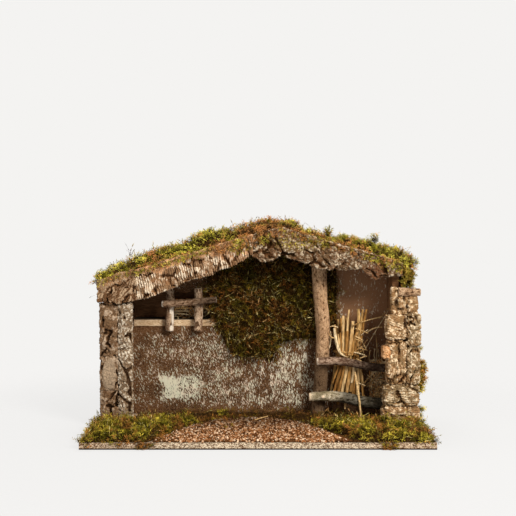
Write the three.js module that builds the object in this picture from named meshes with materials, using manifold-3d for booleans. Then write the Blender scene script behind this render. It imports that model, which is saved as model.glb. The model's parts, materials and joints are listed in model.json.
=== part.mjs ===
// A nativity stable: a chipboard base with a yard of gravel and moss, a painted wall with a hay loft,
// a stall with a sheaf of straw, and a mossy roof edged with cork bark.
// Millimetres, +Z up. The origin is the middle of the base's footprint, on its underside. The yard faces -Y.
import * as THREE from "three";
import { mergeVertices } from "three/addons/utils/BufferGeometryUtils.js";
import Module from "manifold-3d";

const wasm = await Module();
wasm.setup();

// Base and boards
const baseWidth = 420;
const baseDepth = 200;
const baseThickness = 8;
const glueGap = 0.3; // between two pieces that are glued or pinned to each other
const seatDepth = 1.2; // of the flat or saddle cut in a branch where it is fixed
const sideWallInset = 29; // from the base's left and right edges to the side walls' outer faces
const sideWallThickness = 8;
const railSetback = 2.8; // of the frontmost rail, behind the side walls' front edges
const loftDepth = 24; // between the painted wall and the back board
const paintedWallThickness = 5;
const backBoardThickness = 4;
const backBoardInset = 1; // from the base's rear edge

// Roof
const roofThickness = 8;
const roofFrontOverhang = 6; // past the side walls' front edges
const roofLeftOverhang = 24; // past the left wall's outer face
const roofRightOverhang = 15; // past the right wall's outer face
const ridgeOffset = 28; // the ridge lies this far right of the middle
const ridgeRise = 247; // top of the boards over the base's top
const leftEaveRise = 179;
const rightEaveRise = 198;

// Loft
const loftWindowWidth = 110;
const loftWindowHeight = 46;
const loftWindowInset = 7; // from the left wall's inner face
const loftSillRise = 118; // bottom of the window over the base's top
const loftFloorThickness = 8.8;
const loftPostRadius = 6.2;
const loftPostLeftInset = 55.5; // from the left wall's inner face to the post's axis
const loftPostSpacing = 38;
const loftPostLeftHeight = 66;
const loftPostRightHeight = 57;
const loftPostFootDrop = 6; // the posts reach this far below the window's bottom edge
const loftRailRadius = 5.2;
const loftRailLength = 73;
const loftRailEndOverhang = 10; // past the left post's axis
const loftPostTaper = 0.94; // of the top's radius to the foot's
const loftRailTaper = 0.88;
const loftRailSag = 0.8;
const loftRailRise = 22; // axis over the loft floor's top, at the left post
const loftRailClimb = 5.5; // over the rail's length

// Stall
const postTopRadius = 10.2;
const postFootRadius = 9.2;
const postInset = 94; // from the right wall's inner face to the post's foot
const postBow = 7; // the trunk bows this far to the right at mid height
const barkRelief = 0.08; // of a branch's radius
const postClearance = 7.2; // between the post and the painted wall, filled by moss
const mangerRailRadius = 5.7;
const mangerRailRise = 75; // axis over the base's top, at the post
const mangerRailFall = 9; // towards the right wall
const railEndOverhang = 3; // past the post's axis
const birchLeftRadius = 6.6;
const birchRightRadius = 8.4;
const birchRise = 29;
const birchFall = 10;
const birchEndOverhang = 13;
const knotRadius = 2.6;
const knotOffset = 5.5; // right of the post's axis, and a little above the rail's

// Sheaf of straw
const strawCount = 30;
const strawRadius = 2;
const sheafWaistHalfWidth = 16;
const sheafWaistHalfDepth = 9.5;
const sheafWaistRise = 86; // over the base's top
const sheafHeadRise = 136;
const sheafHeadRagged = 14; // how much the straws' heads differ in height
const sheafHeadSlope = 10; // the outermost heads are this much lower
const sheafFootRise = 14;
const sheafFootRagged = 16;
const sheafHeadSpread = 1.5; // times the waist
const sheafFootSpread = 1.55;
const sheafDepthSpread = 1.2;
const sheafPostGap = 24; // from the post's axis to the sheaf's near side
const strawLean = 0.25; // sideways, times the waist
const tieRadius = 1.6;
const tieWaistHeight = 7; // of the band that the tie holds together

// Hay
const loftHayHeight = 18;
const loftHayLap = 4; // past the left post's axis
const loftStalkCount = 7;
const loftStalkLength = 20;
const looseHayWidth = 24; // from the right wall's inner face
const looseHayHeight = 46;
const longStrawRise = 92; // of the lowest head of the long straws that lean out of the heap
const longStrawStep = 12; // from one head to the next

// Bark, moss and gravel
const jambBarkThickness = 12;
const jambOuterWidth = 22; // past the left wall's outer face
const jambInnerWidth = 12; // past the left wall's inner face
// Where the jamb's plates meet: the seam as a share of the wall's thickness, and the joints of the outer and
// the inner plates as shares of the jamb's height
const jambSeamShare = 0.8;
const jambOuterJoints = [0.26, 0.54];
const jambInnerJoint = 0.6;
const fasciaThickness = 11;
const fasciaCrest = 4; // the fascia stands this far over the roof boards
const fasciaSeamOffset = 35; // from the ridge, leftwards, to where the two fascias meet
const fasciaRightInset = 12; // from the right eave, where moss covers the boards' end instead
// How far the fascias hang below the roof's top at evenly spaced stations, and how far from its left end
// each one is cracked through
const leftFasciaDrops = [22, 29, 32, 33, 34, 36, 34, 34, 31, 29, 30, 30, 26, 27, 24, 19];
const rightFasciaDrops = [21, 33, 34, 30, 31, 31, 33, 33, 29, 26, 22, 17, 29, 20, 15, 12];
const fasciaRagged = 2; // of the lower edge
const fasciaWave = 2.5; // of the upper edge
const leftFasciaSeams = [50, 119, 148];
const rightFasciaSeams = [65, 135];
const sideBarkThickness = 17;
const corkStackDepth = 22; // of the cork stones, in front of the right wall
const stackInset = 15; // the stones reach this far inside the right wall's inner face
const stackWidth = 49;
const chipSetback = 0.35; // of the topmost chips' faces, as a share of the stack's depth
// Each stone's left, right, bottom and top, as shares of the stack's width and height
const stackStones = {
  cork_stone_foot: [0, 1, 0, 0.135],
  cork_stone_low: [0.04, 0.98, 0.135, 0.307],
  cork_stone_centre: [0.13, 0.63, 0.307, 0.663],
  cork_stone_orange: [0.02, 0.245, 0.515, 0.607],
  cork_stone_right: [0.63, 0.98, 0.307, 0.607],
  cork_stone_shoulder: [0.63, 1, 0.607, 0.865],
  cork_stone_upper: [0.1, 0.63, 0.663, 0.853],
  cork_chip_left: [0.41, 0.67, 0.853, 1],
  cork_chip_right: [0.67, 0.94, 0.865, 1],
  cork_edge_strip: [0.245, 0.41, 0.853, 1.07],
};
const stackCapRadius = 6.8;
const stackCapTaper = 0.76;
const stackCapShares = [0.42, 0.72, 1.01]; // of its left end, its middle and its right end across the stack
const roofMossThickness = 17;
const mossOverhang = 4; // past the ends of the roof boards
const eaveMossThickness = 9; // of the moss that hangs over the right eave
const eaveMossDrop = 24; // below the top of the board's end
const floorMossThickness = 10;
const wallMossThickness = 7;
// The moss on the painted wall: its lower edge, as shares of its width and rises over the base's top
const wallMossHem = [
  [0, 146],
  [0.09, 113],
  [0.17, 86],
  [0.3, 75],
  [0.42, 77],
  [0.5, 66],
  [0.56, 92],
  [0.7, 100],
  [0.86, 101],
  [1, 118],
];
const wallMossLap = 13; // over the window's right end
const wallMossPastPost = 27;
const sideMossThickness = 19;
const gravelThickness = 3;
const gravelHalfWidth = 117; // at the base's front edge
const gravelOffset = -9; // its middle lies left of the base's
const gravelSetback = 33; // from its tip to the painted wall's face
const gravelBluntness = 2.3; // power of the arch
const postMossGap = 1.5; // around the post's foot
const edgeInset = 1; // moss and gravel stop short of the base's edges
const innerMossShare = 0.6; // of the yard moss's thickness, for the moss inside the walls
const innerMossInset = 16; // from the right wall's inner face

// Brads
const bradRadius = 0.8;
const bradHeadRadius = 1.6;
const bradHeadThickness = 0.8;
const bradBite = 12; // into the piece that it holds
const bradRecess = 0.4; // of the head, below the base's underside
const bradInset = 18; // from the side walls' front edges and from the back board

// Planes and lines worked out from the sizes above
const frontY = -baseDepth / 2;
const rearY = baseDepth / 2;
const baseTop = baseThickness;
const seatZ = baseTop + glueGap;
const wallOuter = baseWidth / 2 - sideWallInset;
const wallInner = wallOuter - sideWallThickness;
const backBoardY = rearY - backBoardInset - backBoardThickness;
const paintedY = backBoardY - loftDepth - paintedWallThickness;
const postY = paintedY - postClearance - postTopRadius;
const railRearY = postY - Math.max(postTopRadius, postFootRadius) + seatDepth;
const widestRail = Math.max(birchLeftRadius, birchRightRadius, mangerRailRadius);
const wallFrontY = railRearY - 2 * widestRail - railSetback;
const roofFrontY = wallFrontY - roofFrontOverhang;
const roofRearY = rearY - backBoardInset;
const eaveLeft = -wallOuter - roofLeftOverhang;
const eaveRight = wallOuter + roofRightOverhang;
const ridgeTop = baseTop + ridgeRise;
const fasciaRight = eaveRight - fasciaRightInset;
const slopeLeft = (ridgeRise - leftEaveRise) / (ridgeOffset - eaveLeft);
const slopeRight = (ridgeRise - rightEaveRise) / (eaveRight - ridgeOffset);
const fasciaSeam = ridgeOffset - fasciaSeamOffset;
const eaveMossBottom = baseTop + rightEaveRise - eaveMossDrop;
// The stones end where the branch stub on top of them just clears the moss that hangs from the eave
const stackCapHeight = stackCapRadius * (1 + stackCapTaper) - seatDepth;
const stackHeight = eaveMossBottom - baseTop - stackCapHeight - glueGap;
const loftWindowLeft = -wallInner + loftWindowInset;
const loftWindowRight = loftWindowLeft + loftWindowWidth;
const loftSill = baseTop + loftSillRise;
const loftFloorTop = loftSill + glueGap + loftFloorThickness;
const postX = wallInner - postInset;
const gravelReach = paintedY - gravelSetback - frontY; // from the base's front edge to its tip

// Height of the roof boards' top, and of their underside, over x
function roofTop(x) {
  return ridgeTop - (x < ridgeOffset ? slopeLeft * (ridgeOffset - x) : slopeRight * (x - ridgeOffset));
}

function roofUnder(x) {
  const slope = x < ridgeOffset ? slopeLeft : slopeRight;
  return roofTop(x) - roofThickness * Math.hypot(1, slope);
}

// Rear edge of the gravel over x: a blunt arch whose tip lies in front of the painted wall
function gravelEdge(x) {
  const share = Math.abs(x - gravelOffset) / gravelHalfWidth;
  return frontY + gravelReach * (1 - share ** gravelBluntness);
}

// Repeatable numbers from 0 to 1
function scatter(x, y = 0, z = 0) {
  const wave = Math.sin(x * 127.1 + y * 311.7 + z * 74.7) * 43758.5453;
  return wave - Math.floor(wave);
}

// Smooth noise from 0 to 1 on a unit grid
function noise(x, y, z = 0) {
  const cell = [x, y, z].map(Math.floor);
  const [u, v, w] = [x, y, z].map((value, k) => THREE.MathUtils.smoothstep(value - cell[k], 0, 1));
  const at = (i, j, k) => scatter(cell[0] + i, cell[1] + j, cell[2] + k);
  const { lerp } = THREE.MathUtils;
  const low = lerp(lerp(at(0, 0, 0), at(1, 0, 0), u), lerp(at(0, 1, 0), at(1, 1, 0), u), v);
  const high = lerp(lerp(at(0, 0, 1), at(1, 0, 1), u), lerp(at(0, 1, 1), at(1, 1, 1), u), v);
  return lerp(low, high, w);
}

// Sharp ridges from 0 to 1
function ridges(x, y, z = 0) {
  return 1 - Math.abs(2 * noise(x, y, z) - 1);
}

// A closed geometry from points and faces, turned so that its faces point outwards
function closedGeometry(points, faces) {
  const volume = faces.reduce((sum, [a, b, c]) => {
    const cross = new THREE.Vector3().crossVectors(points[b], points[c]);
    return sum + points[a].dot(cross);
  }, 0);
  const turned = volume < 0 ? faces.map(([a, b, c]) => [a, c, b]) : faces;
  const geometry = new THREE.BufferGeometry().setFromPoints(points);
  geometry.setIndex(turned.flat());
  return geometry;
}

function toSolid(geometry) {
  const bare = geometry.clone();
  bare.deleteAttribute("normal");
  bare.deleteAttribute("uv");
  const merged = mergeVertices(bare, 1e-4);
  const triVerts = new Uint32Array(merged.index.array);
  const vertProperties = new Float32Array(merged.attributes.position.array);
  return new wasm.Manifold(new wasm.Mesh({ numProp: 3, vertProperties, triVerts }));
}

function toGeometry(solid) {
  const { vertProperties, triVerts } = solid.getMesh();
  const geometry = new THREE.BufferGeometry();
  geometry.setAttribute("position", new THREE.BufferAttribute(vertProperties, 3));
  geometry.setIndex(new THREE.BufferAttribute(triVerts, 1));
  return geometry;
}

function cut(geometry, ...cutters) {
  return toGeometry(cutters.reduce((solid, cutter) => solid.subtract(toSolid(cutter)), toSolid(geometry)));
}

function join(geometry, ...others) {
  return toGeometry(others.reduce((solid, other) => solid.add(toSolid(other)), toSolid(geometry)));
}

// An outline in X and Z, extruded from one y to another
function board(outline, fromY, toY, windows = []) {
  const shape = new THREE.Shape(outline.map(([x, z]) => new THREE.Vector2(x, z)));
  for (const hole of windows) shape.holes.push(new THREE.Path(hole.map(([x, z]) => new THREE.Vector2(x, z))));
  const geometry = new THREE.ExtrudeGeometry(shape, { depth: toY - fromY, bevelEnabled: false });
  return geometry.rotateX(Math.PI / 2).translate(0, toY, 0);
}

// A block that saws off what lies inside it, from its ranges in x, y and z
function slabCutter([left, right], [front, rear], [bottom, top]) {
  return board(rectangle(left, right, bottom, top), front, rear);
}

function rectangle(left, right, bottom, top) {
  return [[left, bottom], [right, bottom], [right, top], [left, top]];
}

// A sheet with one flat face and one carved one. s runs from one end to the other, edges(s) gives the two
// sides' t, height(s, t, u, v) is how far the carved face stands off, and place(s, t, h) puts a point in space.
function carvedSheet({ from, to, edges, place, height, pitch }) {
  const columns = Math.max(2, Math.round((to - from) / pitch));
  const middle = edges((from + to) / 2);
  const rows = Math.max(2, Math.round((middle[1] - middle[0]) / pitch));
  const points = [];
  const faces = [];
  const station = (i) => from + ((to - from) * i) / columns;
  for (let i = 0; i <= columns; i++) {
    const [low, high] = edges(station(i));
    for (let j = 0; j <= rows; j++) {
      const t = low + ((high - low) * j) / rows;
      points.push(place(station(i), t, height(station(i), t, i / columns, j / rows)));
    }
  }
  const flat = points.length;
  for (let i = 0; i <= columns; i++) for (const t of edges(station(i))) points.push(place(station(i), t, 0));
  const carved = (i, j) => i * (rows + 1) + j;
  const quad = (a, b, c, d) => faces.push([a, b, c], [a, c, d]);
  for (let i = 0; i < columns; i++) {
    const low = flat + 2 * i;
    for (let j = 0; j < rows; j++) quad(carved(i, j), carved(i + 1, j), carved(i + 1, j + 1), carved(i, j + 1));
    quad(low, low + 1, low + 3, low + 2);
    quad(low, low + 2, carved(i + 1, 0), carved(i, 0));
    quad(low + 1, carved(i, rows), carved(i + 1, rows), low + 3);
  }
  for (const [i, side] of [[0, 1], [columns, -1]]) {
    const low = flat + 2 * i;
    const cap = (a, b, c) => faces.push(side > 0 ? [a, b, c] : [a, c, b]);
    for (let j = 0; j < rows; j++) cap(low, carved(i, j), carved(i, j + 1));
    cap(low, carved(i, rows), low + 1);
  }
  return closedGeometry(points, faces);
}

// How full a mat or a slab is near its edges: 0 on the edge and 1 a little way in
function swell(u, v, reach = 0.18) {
  const rise = (value) => THREE.MathUtils.smoothstep(Math.min(value, 1 - value), 0, reach);
  return Math.sqrt(rise(u) * rise(v));
}

// A tube along a curve, whose radius follows radiusAt(share, angle). A closed curve gives a ring.
function stick(curve, radiusAt, sides, rings, closed = false) {
  const frames = curve.computeFrenetFrames(rings, closed);
  const points = [];
  const faces = [];
  const last = closed ? rings - 1 : rings;
  for (let i = 0; i <= last; i++) {
    const centre = curve.getPointAt(i / rings);
    for (let j = 0; j < sides; j++) {
      const angle = (2 * Math.PI * j) / sides;
      const radius = radiusAt(i / rings, angle);
      points.push(
        centre
          .clone()
          .addScaledVector(frames.normals[i], radius * Math.cos(angle))
          .addScaledVector(frames.binormals[i], radius * Math.sin(angle)),
      );
    }
  }
  for (let i = 0; i < rings; i++) {
    const next = closed ? (i + 1) % rings : i + 1;
    for (let j = 0; j < sides; j++) {
      const k = (j + 1) % sides;
      faces.push([i * sides + j, next * sides + j, next * sides + k]);
      faces.push([i * sides + j, next * sides + k, i * sides + k]);
    }
  }
  if (!closed) {
    const start = points.push(curve.getPointAt(0)) - 1;
    const end = points.push(curve.getPointAt(1)) - 1;
    for (let j = 0; j < sides; j++) {
      const k = (j + 1) % sides;
      faces.push([start, j, k]);
      faces.push([end, rings * sides + k, rings * sides + j]);
    }
  }
  return closedGeometry(points, faces);
}

// A straw through the given points, with level rings of five corners
function straw(points, radius) {
  const sides = 5;
  const corners = [];
  const faces = [];
  points.forEach(([x, y, z], i) => {
    for (let j = 0; j < sides; j++) {
      const angle = (2 * Math.PI * j) / sides;
      corners.push(new THREE.Vector3(x + radius * Math.cos(angle), y + radius * Math.sin(angle), z));
      if (i === 0) continue;
      const k = (j + 1) % sides;
      const [low, high] = [(i - 1) * sides, i * sides];
      faces.push([low + j, low + k, high + k], [low + j, high + k, high + j]);
    }
  });
  const top = (points.length - 1) * sides;
  for (let j = 1; j < sides - 1; j++) faces.push([0, j + 1, j], [top, top + j, top + j + 1]);
  return closedGeometry(corners, faces);
}

function path(...points) {
  return new THREE.CatmullRomCurve3(points.map((point) => new THREE.Vector3(...point)));
}

// A branch with its bark on: a stick with a slightly knotty radius. A grown one cuts a saddle that fits it.
function branch(points, startRadius, endRadius, sides, rings, seed, grown = 0) {
  const knotty = (share, angle) => {
    const mean = THREE.MathUtils.lerp(startRadius, endRadius, share);
    const knots = noise(share * rings * 0.5, Math.cos(angle) + 2, Math.sin(angle) + seed);
    return grown + mean * (1 - barkRelief * knots);
  };
  return stick(path(...points), knotty, sides, rings);
}

function peg(x, y, z, radius, length, axis) {
  const geometry = new THREE.CylinderGeometry(radius, radius, length, 10);
  if (axis === "z") geometry.rotateX(Math.PI / 2);
  return geometry.translate(x, y, z);
}

// A rounded cork stone that fills its cell, with strata on the sides that show
function corkStone(cell, seed) {
  const [left, right, front, rear, bottom, top] = cell;
  const size = new THREE.Vector3(right - left, rear - front, top - bottom);
  const centre = new THREE.Vector3(left + right, front + rear, bottom + top).multiplyScalar(0.5);
  const steps = [size.x, size.y, size.z].map((length) => THREE.MathUtils.clamp(Math.round(length / 6), 2, 8));
  const box = new THREE.BoxGeometry(2, 2, 2, steps[0], steps[1], steps[2]);
  const squareness = 7;
  const place = box.attributes.position;
  const point = new THREE.Vector3();
  for (let i = 0; i < place.count; i++) {
    point.fromBufferAttribute(place, i);
    const power = (value) => Math.abs(value) ** squareness;
    const round = (power(point.x) + power(point.y) + power(point.z)) ** (-1 / squareness);
    point.multiplyScalar(round);
    const world = point.clone().multiply(size).multiplyScalar(0.5).add(centre);
    const strata = ridges(world.x / 24, world.z / 5, seed) * 0.6 + noise(world.x / 6, world.z / 4, seed) * 0.4;
    const showing = 1 - Math.max(0, point.y);
    point.y *= 1 - 0.3 * showing * (1 - strata);
    point.x *= 1 - 0.07 * (1 - strata) * (1 - Math.abs(point.z));
    place.setXYZ(i, ...point.multiply(size).multiplyScalar(0.5).add(centre).toArray());
  }
  return box;
}

// Parts
const stable = new THREE.Group();
const finishes = {
  chipboard: { color: 0xb59a78, roughness: 0.9 },
  darkBoard: { color: 0x4a382b, roughness: 0.85 },
  paint: { color: 0x776a5a, roughness: 0.9 },
  rawEdge: { color: 0xd9bd8c, roughness: 0.8 },
  branchBark: { color: 0x8a6f58, roughness: 0.85 },
  greyBark: { color: 0x9a9c8e, roughness: 0.8 },
  greyCork: { color: 0x8e857a, roughness: 0.95 },
  tanCork: { color: 0xb8906c, roughness: 0.95 },
  moss: { color: 0x6b6a1e, roughness: 1 },
  gravel: { color: 0x9c6f56, roughness: 0.9 },
  straw: { color: 0xcfa45c, roughness: 0.6 },
  steel: { color: 0x9a9a9a, roughness: 0.4, metalness: 0.9 },
};
const materials = Object.fromEntries(
  Object.entries(finishes).map(([name, values]) => [name, new THREE.MeshStandardMaterial(values)]),
);

function add(name, geometry, finish) {
  const mesh = new THREE.Mesh(geometry, materials[finish]);
  mesh.name = name;
  stable.add(mesh);
}

// Brads hold the walls and the post from under the base
const bradY = [wallFrontY + bradInset, backBoardY - bradInset];
const brads = [
  ["brad_left_front", -wallInner - sideWallThickness / 2, bradY[0]],
  ["brad_left_rear", -wallInner - sideWallThickness / 2, bradY[1]],
  ["brad_right_front", wallInner + sideWallThickness / 2, bradY[0]],
  ["brad_right_rear", wallInner + sideWallThickness / 2, bradY[1]],
  ["brad_post", postX, postY],
];

function brad(x, y) {
  const length = baseThickness + bradBite - bradRecess;
  const shank = peg(x, y, bradRecess + length / 2, bradRadius, length, "z");
  const head = peg(x, y, bradRecess + bradHeadThickness / 2, bradHeadRadius, bradHeadThickness, "z");
  return join(shank, head);
}

function bradHole(x, y) {
  const length = baseThickness + bradBite + 2 * glueGap;
  const shank = peg(x, y, length / 2, bradRadius + glueGap, length, "z");
  const headRoom = bradRecess + bradHeadThickness + glueGap;
  const head = peg(x, y, headRoom / 2 - 1, bradHeadRadius + glueGap, headRoom + 2, "z");
  return join(shank, head);
}

const bradHoles = brads.map(([, x, y]) => bradHole(x, y));

function addBase() {
  const slab = board(rectangle(-baseWidth / 2, baseWidth / 2, 0, baseThickness), frontY, rearY);
  add("base_board", cut(slab, ...bradHoles), "chipboard");
  for (const [name, x, y] of brads) add(name, brad(x, y), "steel");
}

function addWalls() {
  const top = (x) => roofUnder(x) - glueGap;
  const sideWall = (inner, outer) => [[inner, seatZ], [outer, seatZ], [outer, top(outer)], [inner, top(inner)]];
  const rearOfSides = backBoardY - glueGap;
  const left = board(sideWall(-wallInner, -wallOuter), wallFrontY, rearOfSides);
  const right = board(sideWall(wallInner, wallOuter), wallFrontY, rearOfSides);
  add("side_wall_left", cut(left, bradHoles[0], bradHoles[1]), "darkBoard");
  add("side_wall_right", cut(right, bradHoles[2], bradHoles[3]), "darkBoard");

  const gable = (half) => [
    [-half, seatZ],
    [half, seatZ],
    [half, top(half)],
    [ridgeOffset, top(ridgeOffset)],
    [-half, top(-half)],
  ];
  const loftWindow = rectangle(loftWindowLeft, loftWindowRight, loftSill, loftSill + loftWindowHeight);
  const painted = board(gable(wallInner - glueGap), paintedY, paintedY + paintedWallThickness, [loftWindow]);
  add("painted_wall", painted, "paint");
  add("back_board", board(gable(wallOuter), backBoardY, backBoardY + backBoardThickness), "darkBoard");
}

function addRoof() {
  const slope = (from, to) => [
    [from, roofUnder(from)],
    [to, roofUnder(to)],
    [to, roofTop(to)],
    [from, roofTop(from)],
  ];
  const seam = glueGap / 2;
  const left = slope(eaveLeft, ridgeOffset - seam);
  const right = slope(ridgeOffset + seam, eaveRight);
  add("roof_board_left", board(left, roofFrontY, roofRearY), "darkBoard");
  add("roof_board_right", board(right, roofFrontY, roofRearY), "darkBoard");
}

function addLoft() {
  const floor = rectangle(
    loftWindowLeft + glueGap,
    loftWindowRight - glueGap,
    loftSill + glueGap,
    loftFloorTop,
  );
  add("loft_floor", board(floor, paintedY, backBoardY - glueGap), "rawEdge");

  const leftX = -wallInner + loftPostLeftInset;
  const rightX = leftX + loftPostSpacing;
  const y = paintedY - glueGap - loftPostRadius + seatDepth;
  const foot = loftSill - loftPostFootDrop;
  const post = (x, height, seed, grown = 0) => {
    const points = [[x - 0.6, y, foot], [x + 0.5, y, foot + height / 2], [x, y, foot + height]];
    return branch(points, loftPostRadius, loftPostRadius * loftPostTaper, 9, 7, seed, grown);
  };
  const faceY = paintedY - glueGap;
  const wallFace = slabCutter([-wallInner, postX], [faceY, rearY], [baseTop, ridgeTop]);
  add("loft_post_left", cut(post(leftX, loftPostLeftHeight, 1), wallFace), "branchBark");
  add("loft_post_right", cut(post(rightX, loftPostRightHeight, 2), wallFace), "branchBark");

  const railY = y - loftPostRadius - loftRailRadius + seatDepth;
  const railZ = loftFloorTop + loftRailRise;
  const start = leftX - loftRailEndOverhang;
  const railPath = [
    [start, railY, railZ],
    [start + loftRailLength / 2, railY, railZ + loftRailClimb / 2 - loftRailSag],
    [start + loftRailLength, railY, railZ + loftRailClimb],
  ];
  const saddles = [post(leftX, loftPostLeftHeight, 1, glueGap), post(rightX, loftPostRightHeight, 2, glueGap)];
  const rail = branch(railPath, loftRailRadius, loftRailRadius * loftRailTaper, 9, 9, 3);
  add("loft_rail", cut(rail, ...saddles), "branchBark");
  addLoftHay(leftX);
}

// A wad of hay on the loft floor, with a few stalks that stand out of it
function addLoftHay(fromX) {
  const front = paintedY + paintedWallThickness + 2;
  const rear = backBoardY - 2;
  const right = loftWindowRight - 3;
  const hump = carvedSheet({
    from: fromX - loftHayLap,
    to: right,
    edges: () => [front, rear],
    place: (x, y, h) => new THREE.Vector3(x, y, loftFloorTop + glueGap + h),
    height: (x, y, u, v) => 2 + loftHayHeight * swell(u, v, 0.5) * (0.6 + 0.4 * noise(x / 7, y / 7)),
    pitch: 7,
  });
  const stalk = (k) => {
    const x = fromX + loftHayLap + (k * (right - fromX - 2 * loftHayLap)) / loftStalkCount;
    const tilt = 9 * (scatter(k, 5) - 0.5);
    const y = (front + rear) / 2 + 3 * (scatter(k, 6) - 0.5);
    const root = loftFloorTop + 6;
    const tip = root + loftStalkLength + 5 * scatter(k, 7);
    return stick(path([x, y, root], [x + tilt, y - 1, tip]), () => 1, 5, 1);
  };
  add("loft_hay", join(hump, ...Array.from({ length: loftStalkCount }, (_, k) => stalk(k))), "straw");
}

// The trunk that carries the roof, before it is sawn to length
function postTrunk(grown = 0) {
  const height = roofUnder(postX) - seatZ;
  const points = [
    [postX, postY, seatZ - 2],
    [postX + postBow * 0.6, postY, seatZ + height * 0.25],
    [postX + postBow, postY, seatZ + height * 0.45],
    [postX + postBow * 0.4, postY, seatZ + height * 0.75],
    [postX - 1, postY, seatZ + height + 4],
  ];
  return branch(points, postFootRadius, postTopRadius, 12, 14, 4, grown);
}

// The post is sawn flat at its foot, and along the slope of the roof at its top
function mainPost() {
  const reach = 2 * postTopRadius;
  const ground = rectangle(postX - reach, postX + reach, seatZ - reach, seatZ);
  const underRoof = (x) => roofUnder(x) - glueGap;
  const roofLine = [
    [postX - reach, underRoof(postX - reach)],
    [postX + reach, underRoof(postX + reach)],
    [postX + reach, roofTop(postX) + reach],
    [postX - reach, roofTop(postX) + reach],
  ];
  const saws = [ground, roofLine].map((outline) => board(outline, postY - reach, postY + reach));
  return cut(postTrunk(), ...saws, bradHoles[4]);
}

// The post, and the two rails pinned to its front
function addStall() {
  add("main_post", mainPost(), "branchBark");

  const end = wallInner + 1;
  const saddle = postTrunk(glueGap);
  const wallFace = slabCutter([wallInner - glueGap, wallOuter], [frontY, paintedY], [0, ridgeTop]);
  const rail = (overhang, rise, fall, startRadius, endRadius, seed) => {
    const y = railRearY - Math.max(startRadius, endRadius);
    const start = postX - overhang;
    const z = baseTop + rise;
    const points = [
      [start, y, z],
      [start + (end - start) * 0.35, y + 0.5, z + 0.5],
      [start + (end - start) * 0.7, y, z - fall * 0.7],
      [end, y, z - fall],
    ];
    return cut(branch(points, startRadius, endRadius, 10, 10, seed), saddle, wallFace);
  };
  const manger = rail(railEndOverhang, mangerRailRise, mangerRailFall, mangerRailRadius, mangerRailRadius, 5);
  add("manger_rail", manger, "branchBark");
  const birch = rail(birchEndOverhang, birchRise, birchFall, birchLeftRadius, birchRightRadius, 6);
  const birchY = railRearY - Math.max(birchLeftRadius, birchRightRadius);
  const knot = new THREE.SphereGeometry(knotRadius, 8, 6);
  knot.translate(postX + knotOffset, birchY - birchLeftRadius + 1, baseTop + birchRise + 1);
  add("birch_rail", join(birch, knot), "greyBark");
}

// A sheaf of straws, pinched at its waist and fanned out above and below
function addSheaf() {
  const x = postX + sheafPostGap + sheafWaistHalfWidth;
  const clear = tieRadius + glueGap + 0.1; // from the waist's surface to the tie's centre line
  const y = paintedY - glueGap - tieRadius - clear - sheafWaistHalfDepth;
  const waist = baseTop + sheafWaistRise;
  const goldenAngle = Math.PI * (3 - Math.sqrt(5));
  const strawPoints = (k) => {
    const reach = Math.sqrt((k + 0.5) / strawCount);
    const angle = k * goldenAngle;
    const [across, deep] = [reach * Math.cos(angle), reach * Math.sin(angle)];
    const at = (spread, lean, z) => [
      x + (sheafWaistHalfWidth - strawRadius) * (across * spread + lean),
      y + (sheafWaistHalfDepth - strawRadius) * deep * Math.min(spread, sheafDepthSpread),
      z,
    ];
    const head = baseTop + sheafHeadRise + sheafHeadRagged * (scatter(k, 1) - 0.35) - sheafHeadSlope * reach;
    const foot = baseTop + sheafFootRise + sheafFootRagged * scatter(k, 2);
    const lean = strawLean * (scatter(k, 3) - 0.5);
    return [
      at(sheafFootSpread, -lean, foot),
      at(1, 0, waist - tieWaistHeight / 2),
      at(1, 0, waist + tieWaistHeight / 2),
      at(sheafHeadSpread, lean, head),
    ];
  };
  const straws = Array.from({ length: strawCount }, (_, k) => straw(strawPoints(k), strawRadius));
  const waistBand = new THREE.CylinderGeometry(1, 1, tieWaistHeight, 20).rotateX(Math.PI / 2);
  waistBand.scale(sheafWaistHalfWidth, sheafWaistHalfDepth, 1).translate(x, y, waist);
  add("straw_sheaf", join(waistBand, ...straws), "straw");

  const loop = Array.from({ length: 16 }, (_, k) => {
    const angle = (2 * Math.PI * k) / 16;
    return new THREE.Vector3(
      x + (sheafWaistHalfWidth + clear) * Math.cos(angle),
      y + (sheafWaistHalfDepth + clear) * Math.sin(angle),
      waist,
    );
  });
  const ring = new THREE.CatmullRomCurve3(loop, true);
  add("sheaf_tie", stick(ring, () => tieRadius, 6, 28, true), "straw");
  addLooseHay();
}

// Hay heaped in the corner of the stall, with long straws that lean out of it
function addLooseHay() {
  const left = wallInner - looseHayWidth;
  const right = wallInner - 2;
  const front = postY + 2;
  const rear = paintedY - glueGap;
  const heap = carvedSheet({
    from: left,
    to: right,
    edges: () => [front, rear],
    place: (x, y, h) => new THREE.Vector3(x, y, baseTop + floorMossThickness + 1 + h),
    height: (x, y, u, v) => {
      const hump = swell(u * 0.5 + 0.25, v, 0.5);
      return 6 + looseHayHeight * hump * (0.7 + 0.3 * noise(x / 5, y / 5));
    },
    pitch: 6,
  });
  const middleY = (front + rear) / 2;
  const lean = (k) => {
    const foot = [left + 6 + 4 * k, middleY + 2 * k - 3, baseTop + 34];
    const head = [foot[0] + 4 - 5 * k, middleY - 3 + 2 * k, baseTop + longStrawRise + longStrawStep * k];
    return stick(path(foot, head), () => 1.1, 5, 1);
  };
  add("loose_hay", join(heap, ...[0, 1, 2].map(lean)), "straw");
}

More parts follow.
